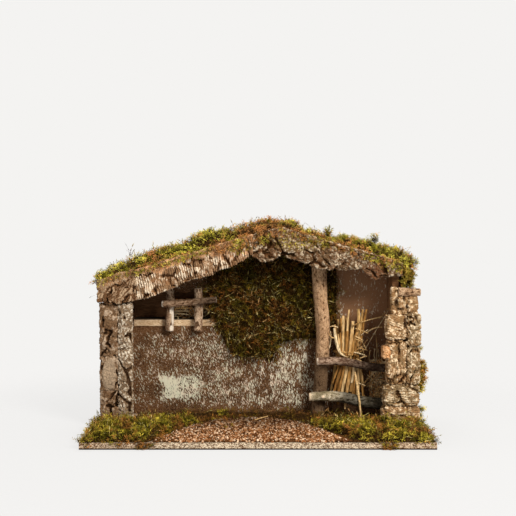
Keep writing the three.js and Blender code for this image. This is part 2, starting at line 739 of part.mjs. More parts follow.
// A slab of bark whose face stands off towards -Y
function barkSlab({ from, to, edges, rearY: back, thickness, grain, seed, relief = 0.2, pitch = 5 }) {
  return carvedSheet({
    from,
    to,
    edges,
    place: (x, z, h) => new THREE.Vector3(x, back - h, z),
    height: (x, z, u, v) => {
      const crag = ridges(x / grain[0], z / grain[1], seed);
      const lump = noise(x / 13, z / 13, seed + 3);
      return thickness * (0.65 - relief + 0.2 * swell(u, v, 0.3) + relief * crag + 0.15 * lump);
    },
    pitch,
  });
}

// How far the fascias hang below the roof boards' top, over x
function fasciaDrop(x) {
  const onLeft = x < fasciaSeam;
  const [from, to] = onLeft ? [eaveLeft, fasciaSeam] : [fasciaSeam, fasciaRight];
  const drops = onLeft ? leftFasciaDrops : rightFasciaDrops;
  const share = THREE.MathUtils.clamp((x - from) / (to - from), 0, 1) * (drops.length - 1);
  const i = Math.min(Math.floor(share), drops.length - 2);
  return THREE.MathUtils.lerp(drops[i], drops[i + 1], share - i);
}

function fasciaBottom(x) {
  return roofTop(x) - fasciaDrop(x) - fasciaRagged * noise(x / 4, 7);
}

// The bark along the roof's front edge, in slabs laid side by side
function addFascia(side, from, seams, to, grain, finish) {
  const ends = [...seams.map((length) => from + length), to];
  ends.forEach((end, k) => {
    const slab = barkSlab({
      from: k === 0 ? from : ends[k - 1] + glueGap,
      to: end,
      edges: (x) => [fasciaBottom(x), roofTop(x) + fasciaCrest + fasciaWave * (noise(x / 6, 16) - 0.5)],
      rearY: roofFrontY - glueGap,
      thickness: fasciaThickness,
      grain,
      seed: 11 + k,
      relief: 0.32,
      pitch: 4,
    });
    add(`fascia_${side}_${k + 1}`, slab, finish);
  });
}

function addFascias() {
  addFascia("left", eaveLeft, leftFasciaSeams, fasciaSeam - glueGap, [5, 30], "tanCork");
  addFascia("right", fasciaSeam, rightFasciaSeams, fasciaRight, [8, 7], "greyCork");
}

// The bark plates that face the left wall's front edge, and the slabs on its outer face
function addLeftBark() {
  const left = -wallOuter - jambOuterWidth;
  const right = -wallInner + jambInnerWidth;
  const seam = -wallInner - sideWallThickness * jambSeamShare;
  const platePitch = 5.5;
  // The top plates follow the fascia's ragged lower edge
  const nearby = (x) => [-1, -0.5, 0, 0.5, 1].map((step) => fasciaBottom(x + step * platePitch));
  const underFascia = (x) => Math.min(...nearby(x)) - glueGap;
  const jambHeight = fasciaBottom(right) - baseTop;
  const [footJoint, middleJoint] = jambOuterJoints.map((share) => baseTop + share * jambHeight);
  const innerJoint = baseTop + jambInnerJoint * jambHeight;
  const plates = [
    ["jamb_bark_outer_foot", left, seam, seatZ, footJoint],
    ["jamb_bark_outer_middle", left, seam, footJoint, middleJoint],
    ["jamb_bark_outer_top", left, seam, middleJoint, null],
    ["jamb_bark_inner_foot", seam, right, seatZ, innerJoint],
    ["jamb_bark_inner_top", seam, right, innerJoint, null],
  ];
  plates.forEach(([name, from, to, bottom, top], k) => {
    const slab = barkSlab({
      from,
      to: to - glueGap,
      edges: (x) => [bottom, (top ?? underFascia(x)) - glueGap],
      rearY: wallFrontY - glueGap,
      thickness: jambBarkThickness,
      grain: [12, 17],
      seed: 31 + k,
      pitch: platePitch,
    });
    add(name, slab, "greyCork");
  });

  const rear = backBoardY - glueGap;
  const middle = (wallFrontY + rear) / 2;
  const slabs = [
    ["side_bark_left_front", wallFrontY, middle],
    ["side_bark_left_rear", middle, rear],
  ];
  slabs.forEach(([name, from, to], k) => {
    const outermost = -wallOuter - glueGap - sideBarkThickness;
    const slab = carvedSheet({
      from,
      to: to - glueGap,
      edges: () => [seatZ, roofUnder(outermost) - glueGap],
      place: (y, z, h) => new THREE.Vector3(-wallOuter - glueGap - h, y, z),
      height: (y, z, u, v) => {
        const crag = ridges(y / 11, z / 18, 41 + k);
        return sideBarkThickness * (0.55 + 0.2 * swell(u, v, 0.2) + 0.25 * crag);
      },
      pitch: 8,
    });
    add(name, slab, "greyCork");
  });
}

// Cork stones stacked against the right wall's front edge
function addCorkStack() {
  const front = wallFrontY - glueGap - corkStackDepth;
  const rear = wallFrontY - glueGap;
  const across = (share) => wallInner - stackInset + share * stackWidth;
  const up = (share) => baseTop + share * stackHeight;
  const stone = (name, seed, grown = 0) => {
    const [left, right, bottom, top] = stackStones[name];
    const small = name.includes("chip") || name.includes("strip");
    const cell = [
      across(left) + glueGap / 2 - grown,
      across(right) - glueGap / 2 + grown,
      front + (small ? corkStackDepth * chipSetback : 0) - grown,
      rear + grown,
      up(bottom) + glueGap - grown,
      up(top) + grown,
    ];
    return corkStone(cell, seed);
  };
  const orangeSeed = 6;
  Object.keys(stackStones).forEach((name, k) => {
    let geometry = stone(name, 3 + k);
    if (name.includes("chip")) geometry = cut(geometry, stackCap(glueGap));
    if (name.includes("centre")) geometry = cut(geometry, stone("cork_stone_orange", orangeSeed, 2 * glueGap));
    add(name, geometry, "tanCork");
  });
  add("cork_stack_cap", stackCap(), "branchBark");
}

// The stub of a branch that lies in a groove across the two topmost chips
function stackCap(grown = 0) {
  const z = baseTop + stackHeight + stackCapRadius - seatDepth;
  const y = wallFrontY - glueGap - 1.5 * stackCapRadius;
  const across = (share) => wallInner - stackInset + share * stackWidth;
  const points = stackCapShares.map((share, k) => [across(share), y, z - 0.3 * k]);
  return branch(points, stackCapRadius, stackCapRadius * stackCapTaper, 9, 6, 8, grown);
}

// A mat of moss that lies on z(x) over a stretch of ground
function mossMat({ from, to, edges, ground, thickness, seed, pitch = 10, rim = 0.35 }) {
  return carvedSheet({
    from,
    to,
    edges,
    place: (x, y, h) => new THREE.Vector3(x, y, ground(x) + glueGap + h),
    height: (x, y, u, v) => {
      const lump = noise(x / 21, y / 21, seed) * 0.6 + noise(x / 9, y / 9, seed + 5) * 0.4;
      return thickness * (rim + (1 - rim) * swell(u, v)) * (0.7 + 0.6 * lump);
    },
    pitch,
  });
}

function addRoofMoss() {
  const edges = () => [roofFrontY, roofRearY];
  const common = { edges, ground: roofTop, thickness: roofMossThickness, pitch: 9.5, rim: 0.55 };
  const left = mossMat({ ...common, from: eaveLeft - mossOverhang, to: ridgeOffset - glueGap, seed: 51 });
  const right = mossMat({ ...common, from: ridgeOffset + glueGap, to: eaveRight + mossOverhang, seed: 52 });
  add("roof_moss_left", left, "moss");
  add("roof_moss_right", right, "moss");

  const hanging = carvedSheet({
    from: roofFrontY,
    to: roofRearY,
    edges: () => [eaveMossBottom, roofTop(eaveRight + eaveMossThickness) - glueGap],
    place: (y, z, h) => new THREE.Vector3(eaveRight + glueGap + h, y, z),
    height: (y, z, u, v) => {
      const lump = noise(y / 8, z / 8, 53);
      return eaveMossThickness * (0.45 + 0.3 * swell(u, v, 0.3) + 0.25 * lump);
    },
    pitch: 6,
  });
  add("eave_moss_right", hanging, "moss");

  const corner = carvedSheet({
    from: fasciaRight + glueGap,
    to: eaveRight + eaveMossThickness,
    edges: (x) => [eaveMossBottom + mossOverhang, roofTop(x) + glueGap],
    place: (x, z, h) => new THREE.Vector3(x, roofFrontY - glueGap - h, z),
    height: (x, z, u, v) => fasciaThickness * (0.4 + 0.35 * swell(u, v, 0.3) + 0.25 * noise(x / 8, z / 8, 54)),
    pitch: 5,
  });
  add("eave_moss_corner", corner, "moss");
}

function addFloor() {
  const front = frontY + edgeInset;
  const yardLineLeft = wallFrontY - glueGap - jambBarkThickness - glueGap;
  const yardLineRight = wallFrontY - glueGap - corkStackDepth - glueGap;
  const ground = () => baseTop;
  const outer = baseWidth / 2 - edgeInset;
  const gravelAt = (y) => gravelHalfWidth * (1 - (y - frontY) / gravelReach) ** (1 / gravelBluntness);
  const least = 4; // breadth of a mat at its pointed end

  const bed = carvedSheet({
    from: gravelOffset - gravelAt(front + least),
    to: gravelOffset + gravelAt(front + least),
    edges: (x) => [front, gravelEdge(x)],
    place: (x, y, h) => new THREE.Vector3(x, y, seatZ + h),
    height: (x, y) => gravelThickness * (0.6 + 0.6 * noise(x / 7, y / 7, 61)),
    pitch: 13,
  });
  add("gravel_bed", bed, "gravel");

  const frontEdge = (x) => Math.max(front, gravelEdge(x) + 3 * glueGap);
  const common = { ground, thickness: floorMossThickness };
  const left = mossMat({
    ...common,
    from: -outer,
    to: gravelOffset - gravelAt(yardLineLeft - least),
    edges: (x) => [frontEdge(x), yardLineLeft],
    seed: 62,
  });
  const right = mossMat({
    ...common,
    from: gravelOffset + gravelAt(yardLineRight - least),
    to: outer,
    edges: (x) => [frontEdge(x), yardLineRight],
    seed: 63,
  });
  add("floor_moss_front_left", left, "moss");
  add("floor_moss_front_right", right, "moss");

  const innerLeft = -wallInner + jambInnerWidth + glueGap;
  const innerRight = wallInner - innerMossInset - glueGap;
  const yardLine = (x) => (x < gravelOffset ? yardLineLeft : yardLineRight) + glueGap;
  const inner = mossMat({
    from: innerLeft,
    to: innerRight,
    edges: (x) => [Math.max(yardLine(x), gravelEdge(x) + glueGap), paintedY - glueGap],
    ground,
    thickness: floorMossThickness * innerMossShare,
    seed: 64,
  });
  const roomHeight = 4 * floorMossThickness;
  const room = peg(postX, postY, seatZ + floorMossThickness, postFootRadius + postMossGap, roomHeight, "z");
  add("floor_moss_inner", cut(inner, room), "moss");
}

// Moss that hangs down the painted wall, and moss on the right wall's outer face
function addHangingMoss() {
  const left = loftWindowRight - wallMossLap;
  const right = postX + wallMossPastPost;
  const hemStations = wallMossHem.map(([share, rise]) => new THREE.Vector2(share, baseTop + rise));
  const hemPoints = new THREE.SplineCurve(hemStations).getPoints(120);
  const hem = (x) => {
    const share = (x - left) / (right - left);
    const after = hemPoints.find((point) => point.x >= share) ?? hemPoints.at(-1);
    return after.y;
  };
  const curtain = carvedSheet({
    from: left,
    to: right,
    edges: (x) => [hem(x), roofUnder(x) - 2 * glueGap],
    place: (x, z, h) => new THREE.Vector3(x, paintedY - glueGap - h, z),
    height: (x, z, u, v) => wallMossThickness * (0.4 + 0.35 * swell(u, v) + 0.25 * noise(x / 12, z / 12, 71)),
    pitch: 10,
  });
  add("wall_moss", curtain, "moss");

  const pitch = 11;
  const eaveRoom = roofRightOverhang - 2 * glueGap; // between the wall and the moss that hangs from the eave
  const outermost = wallOuter + sideMossThickness;
  const coat = carvedSheet({
    from: wallFrontY + 2,
    to: backBoardY - glueGap,
    edges: () => [seatZ, roofUnder(outermost) - glueGap],
    place: (y, z, h) => new THREE.Vector3(wallOuter + glueGap + h, y, z),
    height: (y, z, u, v) => {
      const full = sideMossThickness * (0.4 + 0.3 * swell(u, v) + 0.3 * noise(y / 16, z / 16, 72));
      return z > eaveMossBottom - 1.5 * pitch ? Math.min(full, eaveRoom - glueGap) : full;
    },
    pitch,
  });
  add("side_moss_right", coat, "moss");
}

addBase();
addWalls();
addRoof();
addLoft();
addStall();
addSheaf();
addFascias();
addLeftBark();
addCorkStack();
addRoofMoss();
addFloor();
addHangingMoss();

export default stable;
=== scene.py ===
# %% [markdown]
# # A nativity stable
# The stable is a small diorama: boards, branches, cork bark, moss, gravel and straw, glued onto a piece of
# chipboard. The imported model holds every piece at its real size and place. This lesson gives each piece its
# surface. Where a solid's shape is already right, such as a sawn board, it only gets a material. Where the
# real surface is rough or hairy, a new mesh is grown out of the solid, so it can't drift away from it.

# %% Load the frame
import json
import math

import bmesh
import bpy
import numpy as np
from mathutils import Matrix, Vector

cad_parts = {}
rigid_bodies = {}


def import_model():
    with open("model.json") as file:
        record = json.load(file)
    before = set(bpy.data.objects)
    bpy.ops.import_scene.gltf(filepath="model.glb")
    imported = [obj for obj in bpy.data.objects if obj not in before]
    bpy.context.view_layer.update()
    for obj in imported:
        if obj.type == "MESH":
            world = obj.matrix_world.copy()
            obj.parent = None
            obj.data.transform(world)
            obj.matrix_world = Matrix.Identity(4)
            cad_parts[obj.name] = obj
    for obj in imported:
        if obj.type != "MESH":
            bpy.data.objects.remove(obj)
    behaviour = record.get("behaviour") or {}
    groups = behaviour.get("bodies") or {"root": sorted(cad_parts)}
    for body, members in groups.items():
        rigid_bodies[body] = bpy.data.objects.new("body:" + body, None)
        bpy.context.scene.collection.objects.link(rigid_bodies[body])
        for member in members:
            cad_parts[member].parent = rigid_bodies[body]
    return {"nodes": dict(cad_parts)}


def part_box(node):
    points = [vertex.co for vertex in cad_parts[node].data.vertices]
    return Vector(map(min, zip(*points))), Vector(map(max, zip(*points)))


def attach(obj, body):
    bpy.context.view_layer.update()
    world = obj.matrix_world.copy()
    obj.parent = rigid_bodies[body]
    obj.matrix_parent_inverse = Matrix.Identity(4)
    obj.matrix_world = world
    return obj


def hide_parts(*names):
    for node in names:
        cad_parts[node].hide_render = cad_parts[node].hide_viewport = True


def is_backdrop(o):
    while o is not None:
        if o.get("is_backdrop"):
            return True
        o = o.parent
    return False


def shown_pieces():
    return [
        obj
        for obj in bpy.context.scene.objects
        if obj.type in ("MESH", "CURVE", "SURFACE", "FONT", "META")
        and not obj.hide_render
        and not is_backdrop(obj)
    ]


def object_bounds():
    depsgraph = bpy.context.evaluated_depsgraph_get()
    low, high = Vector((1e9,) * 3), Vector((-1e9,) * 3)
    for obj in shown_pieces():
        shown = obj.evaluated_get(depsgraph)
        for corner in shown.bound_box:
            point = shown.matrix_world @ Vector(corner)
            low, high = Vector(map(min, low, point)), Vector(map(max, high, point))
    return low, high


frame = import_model()
cad_nodes = frame["nodes"]
cad_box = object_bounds()
scene = bpy.context.scene
scene.view_settings.view_transform = "Standard"
MM = 0.001
print("pieces in the frame:", len(cad_nodes))


def add_object(name, data, collection=scene.collection):
    made = bpy.data.objects.new(name, data)
    collection.objects.link(made)
    return made


def add_mesh(name, points, faces, collection=scene.collection):
    mesh = bpy.data.meshes.new(name)
    mesh.from_pydata(points, [], faces)
    return add_object(name, mesh, collection)


def in_mm(box):
    """The lowest and the highest corner of a box, in millimetres."""
    return [corner / MM for corner in box]


# %% [markdown]
# ## The camera
# The photograph was taken from far off with a long lens, a little above the roof, so the base shows as a thin
# strip. The place and the tilt were worked out from the base's corners and the walls' edges, whose real sizes
# are known. No ready-made camera helper is used, because those depend on the render size.

# %% Place the camera
CAMERA_PLACE = (0.0, -1.2166, 0.2783)
CAMERA_FALL = math.radians(2.735)  # below the horizon
CAMERA_LENS = 67.2  # millimetres, on a sensor 36 wide

camera = add_object("camera", bpy.data.cameras.new("camera"))
camera.location = CAMERA_PLACE
camera.rotation_euler = (math.pi / 2 - CAMERA_FALL, 0, 0)
camera.data.lens = CAMERA_LENS
camera.data.clip_start = 0.05
scene.camera = camera
print("camera at", CAMERA_PLACE)

# %% [markdown]
# ## A helper for node trees
# Materials and Geometry Nodes are both trees of nodes. Written out in full, each node takes a line for each
# of its sockets. Here an output of a node is a field, and adding or multiplying fields makes the nodes for
# it, so a tree reads like a formula.

# %% Helpers for node trees
class Field:
    """An output of a node, which can be reckoned with."""

    def __init__(self, tree, socket):
        self.tree = tree
        self.socket = socket

    def __add__(self, other):
        return maths("ADD", self, other)

    def __sub__(self, other):
        return maths("SUBTRACT", self, other)

    def __rsub__(self, other):
        return maths("SUBTRACT", other, self)

    def __mul__(self, other):
        if is_vector(self) and not is_vector(other):
            inputs = {0: self, "Scale": other}
            return add_node(self.tree, "ShaderNodeVectorMath", inputs, operation="SCALE")["Vector"]
        return maths("MULTIPLY", self, other)

    def __truediv__(self, other):
        return maths("DIVIDE", self, other)

    def __rtruediv__(self, other):
        return maths("DIVIDE", other, self)


class Made:
    """A node that was added. Its outputs are taken by name or by number."""

    def __init__(self, tree, node):
        self.tree = tree
        self.node = node

    def __getitem__(self, key):
        return Field(self.tree, self.node.outputs[key])


def is_vector(value):
    if isinstance(value, Field):
        return value.socket.type in ("VECTOR", "RGBA")
    return isinstance(value, tuple)


def add_node(tree, kind, inputs=None, **settings):
    """Adds a node and fills its sockets with fields, lists of fields or plain values."""
    node = tree.nodes.new(kind)
    for name, value in settings.items():
        setattr(node, name, value)
    for key, value in (inputs or {}).items():
        socket = node.inputs[key]
        if isinstance(value, (Field, list)):
            for field in value if isinstance(value, list) else [value]:
                tree.links.new(field.socket, socket)
        elif socket.type == "RGBA" and len(value) == 3:
            socket.default_value = (*value, 1)
        else:
            socket.default_value = value
    return Made(tree, node)


def tree_of(*values):
    return next(value.tree for value in values if isinstance(value, Field))


def trio(x, y, z):
    return add_node(tree_of(x, y, z), "ShaderNodeCombineXYZ", {0: x, 1: y, 2: z})[0]


def parts(vector):
    """The x, y and z of a vector."""
    made = add_node(vector.tree, "ShaderNodeSeparateXYZ", {0: vector})
    return made[0], made[1], made[2]


def maths(operation, *values, clamp=False):
    """One step of arithmetic. Beside a vector, a number counts as a vector of three like parts."""
    tree = tree_of(*values)
    if not any(is_vector(value) for value in values):
        inputs = dict(enumerate(values))
        return add_node(tree, "ShaderNodeMath", inputs, operation=operation, use_clamp=clamp)[0]
    inputs = {}
    for key, value in enumerate(values):
        if not is_vector(value):
            value = trio(value, value, value) if isinstance(value, Field) else (value,) * 3
        inputs[key] = value
    made = add_node(tree, "ShaderNodeVectorMath", inputs, operation=operation)
    return made["Value" if operation in ("DOT_PRODUCT", "LENGTH") else "Vector"]


def ease(value, low, high, to_low=0.0, to_high=1.0):
    """A smooth step from to_low to to_high, while the value goes from low to high."""
    inputs = {0: value, 1: low, 2: high, 3: to_low, 4: to_high}
    return add_node(value.tree, "ShaderNodeMapRange", inputs, interpolation_type="SMOOTHSTEP")[0]


def centred(value, height):
    """Noise from 0 to 1, made to swing round zero."""
    return (value - 0.5) * height


def noise(place, detail=2.0, roughness=0.5, scale=1.0, output=0):
    inputs = {"Vector": place, "Scale": scale, "Detail": detail, "Roughness": roughness}
    return add_node(place.tree, "ShaderNodeTexNoise", inputs)[output]


def cells(place, feature="F1"):
    return add_node(place.tree, "ShaderNodeTexVoronoi", {"Vector": place, "Scale": 1.0}, feature=feature)


def blend(share, first, second):
    """Mixes two colours."""
    return add_node(share.tree, "ShaderNodeMix", {0: share, 6: first, 7: second}, data_type="RGBA")[2]


def new_tree(name, kind, inputs, outputs):
    """A node group. An input is given by its default value, or by its kind if it has none."""
    tree = bpy.data.node_groups.new(name, kind)
    kinds = {bool: "Bool", int: "Int", float: "Float"}
    for label, value in inputs.items():
        if isinstance(value, str):
            socket = value
        elif isinstance(value, tuple):
            socket = "Color" if len(value) == 4 else "Vector"
        else:
            socket = kinds[type(value)]
        made = tree.interface.new_socket(label, in_out="INPUT", socket_type="NodeSocket" + socket)
        if not isinstance(value, str):
            made.default_value = value
    for label, socket in outputs.items():
        tree.interface.new_socket(label, in_out="OUTPUT", socket_type="NodeSocket" + socket)
    tree.nodes.new("NodeGroupOutput").name = "results"
    return tree, add_node(tree, "NodeGroupInput")


def send_out(tree, **results):
    for label, field in results.items():
        tree.links.new(field.socket, tree.nodes["results"].inputs[label])
    return tree


# %% [markdown]
# ## The floor and the light
# The picture has a warm near-white backdrop with no visible horizon. The world shows that colour to the
# camera and to mirrors, and lights the object with a much dimmer sky. The floor has the same colour and
# fades out to the world around the object, so only the soft shadow shows. One broad lamp from the front
# right gives the picture its contrast, and a weaker one from the left keeps the shadows open.

# %% Light the scene
BACKDROP = (0.905, 0.896, 0.880)
SKY = (1.0, 0.93, 0.84)
SKY_STRENGTH = 0.27
PAPER = (0.617, 0.642, 0.682)  # what the lamps light up to the backdrop's colour
FLOOR_GLOW = 0.82  # share of the floor that is plain backdrop colour, the rest takes light and shadow
FLOOR_FADE = (0.25, 0.62)  # metres from the middle
FLOOR_HALF = 1.5  # metres


def seen_directly(tree):
    """1 where the camera, a mirror or glass looks, and 0 where light only bounces."""
    path = add_node(tree, "ShaderNodeLightPath")
    mirrored = maths("MAXIMUM", path["Is Glossy Ray"], path["Is Transmission Ray"])
    return maths("MAXIMUM", path["Is Camera Ray"], mirrored)


def mix_shaders(share, first, second):
    return add_node(share.tree, "ShaderNodeMixShader", {0: share, 1: first, 2: second})[0]


def light_world():
    world = bpy.data.worlds.new("studio")
    world.use_nodes = True
    scene.world = world
    tree = world.node_tree
    tree.nodes.clear()
    sky = add_node(tree, "ShaderNodeBackground", {"Color": SKY, "Strength": SKY_STRENGTH})[0]
    backdrop = add_node(tree, "ShaderNodeBackground", {"Color": BACKDROP, "Strength": 1.0})[0]
    add_node(tree, "ShaderNodeOutputWorld", {"Surface": mix_shaders(seen_directly(tree), sky, backdrop)})


def add_lamp(name, place, target, size, power, colour):
    lamp = bpy.data.lights.new(name, "AREA")
    lamp.shape = "DISK"
    lamp.size = size
    lamp.energy = power
    lamp.color = colour
    holder = add_object(name, lamp)
    holder.location = place
    holder.rotation_euler = (Vector(target) - Vector(place)).to_track_quat("-Z", "Y").to_euler()


light_world()
add_lamp("key_lamp", (0.95, -1.25, 1.15), (0, 0, 0.12), 0.7, 39, (1.0, 0.94, 0.86))
add_lamp("fill_lamp", (-1.3, -0.9, 0.7), (0, 0, 0.12), 0.9, 5, (1.0, 0.93, 0.86))
add_lamp("top_lamp", (-0.1, 0.5, 1.5), (0, 0, 0.2), 0.8, 12, (1.0, 0.97, 0.93))


def floor_material():
    made = bpy.data.materials.new("floor_paper")
    made.use_nodes = True
    tree = made.node_tree
    tree.nodes.clear()
    fade = ease(maths("LENGTH", add_node(tree, "ShaderNodeTexCoord")["Object"]), *FLOOR_FADE)
    paper = add_node(tree, "ShaderNodeBsdfPrincipled", {"Base Color": PAPER, "Roughness": 0.9})[0]
    glow = add_node(tree, "ShaderNodeEmission", {"Color": BACKDROP, "Strength": 1.0})[0]
    lit = mix_shaders(seen_directly(tree) * FLOOR_GLOW, paper, glow)
    faded = mix_shaders(fade, lit, add_node(tree, "ShaderNodeBsdfTransparent")[0])
    add_node(tree, "ShaderNodeOutputMaterial", {"Surface": faded})
    return made


corners = [(x * FLOOR_HALF, y * FLOOR_HALF, 0) for x, y in ((-1, -1), (1, -1), (1, 1), (-1, 1))]
sheet = add_mesh("floor_sheet", corners, [(0, 1, 2, 3)])
sheet.data.materials.append(floor_material())
sheet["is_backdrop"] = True

# %% [markdown]
# ## Making and settling pieces
# A rough piece starts as a welded copy of its solid. A voxel remesh turns it into an even mesh of fine
# squares, which has room for cracks and ridges, and a smoothing takes out the solid's facets. The modifier of
# a Geometry Nodes tree then grows the surface. Last the result is made a plain mesh, and the modifiers go.

# %% Helpers for pieces
WELD = 0.01 * MM


def skin(name, solid, voxel, smoothing):
    """A fine even mesh over the welded copy of a solid."""
    shape = bmesh.new()
    shape.from_mesh(cad_nodes[solid].data)
    bmesh.ops.remove_doubles(shape, verts=shape.verts, dist=WELD)
    mesh = bpy.data.meshes.new(name)
    shape.to_mesh(mesh)
    shape.free()
    piece = add_object(name, mesh)
    remesh = piece.modifiers.new("even_mesh", "REMESH")
    remesh.mode = "VOXEL"
    remesh.voxel_size = voxel * MM
    smooth = piece.modifiers.new("smooth", "SMOOTH")
    smooth.factor = 0.5
    smooth.iterations = smoothing
    return settle(piece)


def settle(piece):
    """Turns the piece and its modifiers into a plain mesh."""
    graph = bpy.context.evaluated_depsgraph_get()
    made = piece.evaluated_get(graph)
    mesh = bpy.data.meshes.new_from_object(made, preserve_all_data_layers=True, depsgraph=graph)
    mesh.name = piece.name
    if piece.type == "MESH":
        piece.modifiers.clear()
        piece.data = mesh
        return piece
    settled = add_object(piece.name, mesh)
    name = piece.name
    bpy.data.objects.remove(piece)
    settled.name = name
    return settled


def grow(piece, tree, values):
    """Runs a Geometry Nodes tree on a piece, with inputs given by name, and settles it."""
    modifier = piece.modifiers.new(tree.name, "NODES")
    modifier.node_group = tree
    for item in tree.interface.items_tree:
        if item.item_type == "SOCKET" and item.in_out == "INPUT" and item.name in values:
            modifier[item.identifier] = values[item.name]
    return settle(piece)


def places(piece):
    """The piece's points, in millimetres, as an array."""
    points = np.empty(3 * len(piece.data.vertices), np.float32)
    piece.data.vertices.foreach_get("co", points)
    return points.reshape(-1, 3) / MM


def put_back(piece, points):
    piece.data.vertices.foreach_set("co", (points * MM).ravel())


def mark(piece, name, values):
    """Stores one number for each point, which node trees can read by its name."""
    layer = piece.data.attributes.get(name) or piece.data.attributes.new(name, "FLOAT", "POINT")
    layer.data.foreach_set("value", np.asarray(values, np.float32))


def mark_by(piece, formulas):
    for label, formula in (formulas or {}).items():
        mark(piece, label, formula(places(piece)))


def step(values, low, high):
    """The smooth step from 0 to 1 of an array, while its values go from low to high."""
    share = np.clip((values - low) / (high - low), 0, 1)
    return share * share * (3 - 2 * share)


def spot(points, x, z, half_width, half_height, softness=0.25):
    """1 inside an ellipse on the front of the object, and 0 outside it."""
    reach = np.hypot((points[:, 0] - x) / half_width, (points[:, 2] - z) / half_height)
    return 1 - step(reach, 1 - softness, 1 + softness)


def wavy(x, height, *lengths):
    return sum(height / (k + 1) * np.sin(x / length + 2.3 * k) for k, length in enumerate(lengths))


def hand_over(piece, solids):
    """The piece stands for its solids, which it hides, and rides with the stable."""
    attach(piece, "root")
    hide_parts(*solids)
    count = sum(len(face.vertices) - 2 for face in piece.data.polygons)
    print(f"{piece.name}: {count} triangles")


# %% [markdown]
# ## Surface effects that several finishes share
# Bark, branches and boards all darken in their cracks, wear pale on their crests and vary in patches. On bark
# and branches the dark of the cracks is partly their own colour and partly painted shade. One shader group
# makes that from a few colours and the height that the piece's own tree stored, called relief.
# A second group makes wood fibres. Each material places them with its own colours and sizes.

# %% Shader groups
TONE_AND_HEIGHT = {"Color": "Color", "Height": "Float"}


def weathered_group():
    tree, given = new_tree("Weathered tones", "ShaderNodeTree", {
        "Place": "Vector", "Relief": 0.5, "Flake": 0.5, "Deep": (0.1, 0.05, 0.02, 1),
        "Body": (0.3, 0.2, 0.1, 1),
        "Crest": (0.5, 0.4, 0.3, 1), "Stain": (0.3, 0.15, 0.05, 1), "Stain share": 0.3, "Patch size": 14.0,
        "Fleck size": 0.9,
    }, TONE_AND_HEIGHT)
    relief, flake = given["Relief"], given["Flake"]
    patch = given["Place"] * (1.0 / given["Patch size"])
    broad = noise(patch, 3.0, 0.6)
    fine = noise(given["Place"] * (1.0 / given["Fleck size"]), 2.0, 0.6)
    # Painted shade, partly the bark's own darker inside: the cracks take the deep colour by their depth
    body = blend(ease(relief, 0.12, 0.55), given["Deep"], given["Body"])
    paleness = ease(broad + centred(flake, 0.5) + centred(fine, 0.5), 0.36, 0.6)
    crest = blend(ease(relief, 0.5, 0.92) * paleness, body, given["Crest"])
    stained = ease(noise(patch + (17.3, 5.1, 9.2), scale=1.3), 0.5, 0.62)
    tone = blend(stained * given["Stain share"], crest, given["Stain"])
    brightness = ease(fine, 0.3, 0.7, 0.68, 1.26) * ease(flake, 0.0, 1.0, 0.84, 1.14)
    return send_out(tree, Color=tone * brightness, Height=fine)


def fibre_group():
    tree, given = new_tree("Wood fibres", "ShaderNodeTree", {
        "Place": "Vector", "Fibre size": (0.6, 8.0, 0.6), "Color": (0.3, 0.2, 0.1, 1),
        "Dark": (0.1, 0.06, 0.03, 1), "Contrast": 0.5,
    }, TONE_AND_HEIGHT)
    fibres = noise(given["Place"] / given["Fibre size"], 3.0, 0.6)
    cloudy = ease(noise(given["Place"] / 21), 0.6, 0.38) * (given["Contrast"] * 0.6)
    darkness = maths("MAXIMUM", ease(fibres, 0.62, 0.38) * given["Contrast"], cloudy)
    return send_out(tree, Color=blend(darkness, given["Color"], given["Dark"]), Height=fibres)


WEATHERED = weathered_group()
FIBRES = fibre_group()
print("shader groups:", WEATHERED.name, "and", FIBRES.name)


# %% Helpers for materials
def new_material(name, roughness, **sockets):
    """A material with one Principled shader. Returns it with its tree and the place in millimetres."""
    made = bpy.data.materials.new(name)
    made.use_nodes = True
    tree = made.node_tree
    values = {"Roughness": roughness, "Specular IOR Level": 0.06, **sockets}
    for socket, value in values.items():
        tree.nodes["Principled BSDF"].inputs[socket].default_value = value
    return made, tree, add_node(tree, "ShaderNodeTexCoord")["Object"] * 1000.0


def dress(material, colour, height=None, depth=0.0):
    """Leads the colour into the material's shader, and a bump of a depth in millimetres."""
    tree = colour.tree
    shader = tree.nodes["Principled BSDF"]
    tree.links.new(colour.socket, shader.inputs["Base Color"])
    if height:
        bump = add_node(tree, "ShaderNodeBump", {"Height": height, "Distance": depth * MM, "Strength": 1.0})
        tree.links.new(bump[0].socket, shader.inputs["Normal"])
    return material


def stored(tree, name):
    return add_node(tree, "ShaderNodeAttribute", attribute_name=name)["Fac"]


def paint_solids(material, *solids):
    """Gives solids of the frame their finish."""
    for solid in solids:
        slots = cad_nodes[solid].data.materials
        slots.clear()
        slots.append(material)


# %% [markdown]
# ## The boards
# Side walls, roof boards and back are thin board, stained dark brown before the bark went on, so they only
# show fibres and a little patchiness. The base is raw chipboard: pressed flakes of pale wood, which its sawn
# edges show as short light and dark dashes with pits between them. Both are flat sawn pieces, so the solids
# stay and the surface is in the materials.

# %% Stained board, chipboard and raw wood
def fibrous(place, size, colour, dark, contrast):
    inputs = {"Place": place, "Fibre size": size, "Color": colour, "Dark": dark, "Contrast": contrast}
    return add_node(place.tree, "ShaderNodeGroup", inputs, node_tree=FIBRES)


def stained_board():
    made, tree, place = new_material("stained_board", 0.75)
    tone = fibrous(place, (9.0, 9.0, 1.1), (0.27, 0.135, 0.062), (0.11, 0.05, 0.021), 0.75)
    return dress(made, tone["Color"], tone["Height"], 0.25)


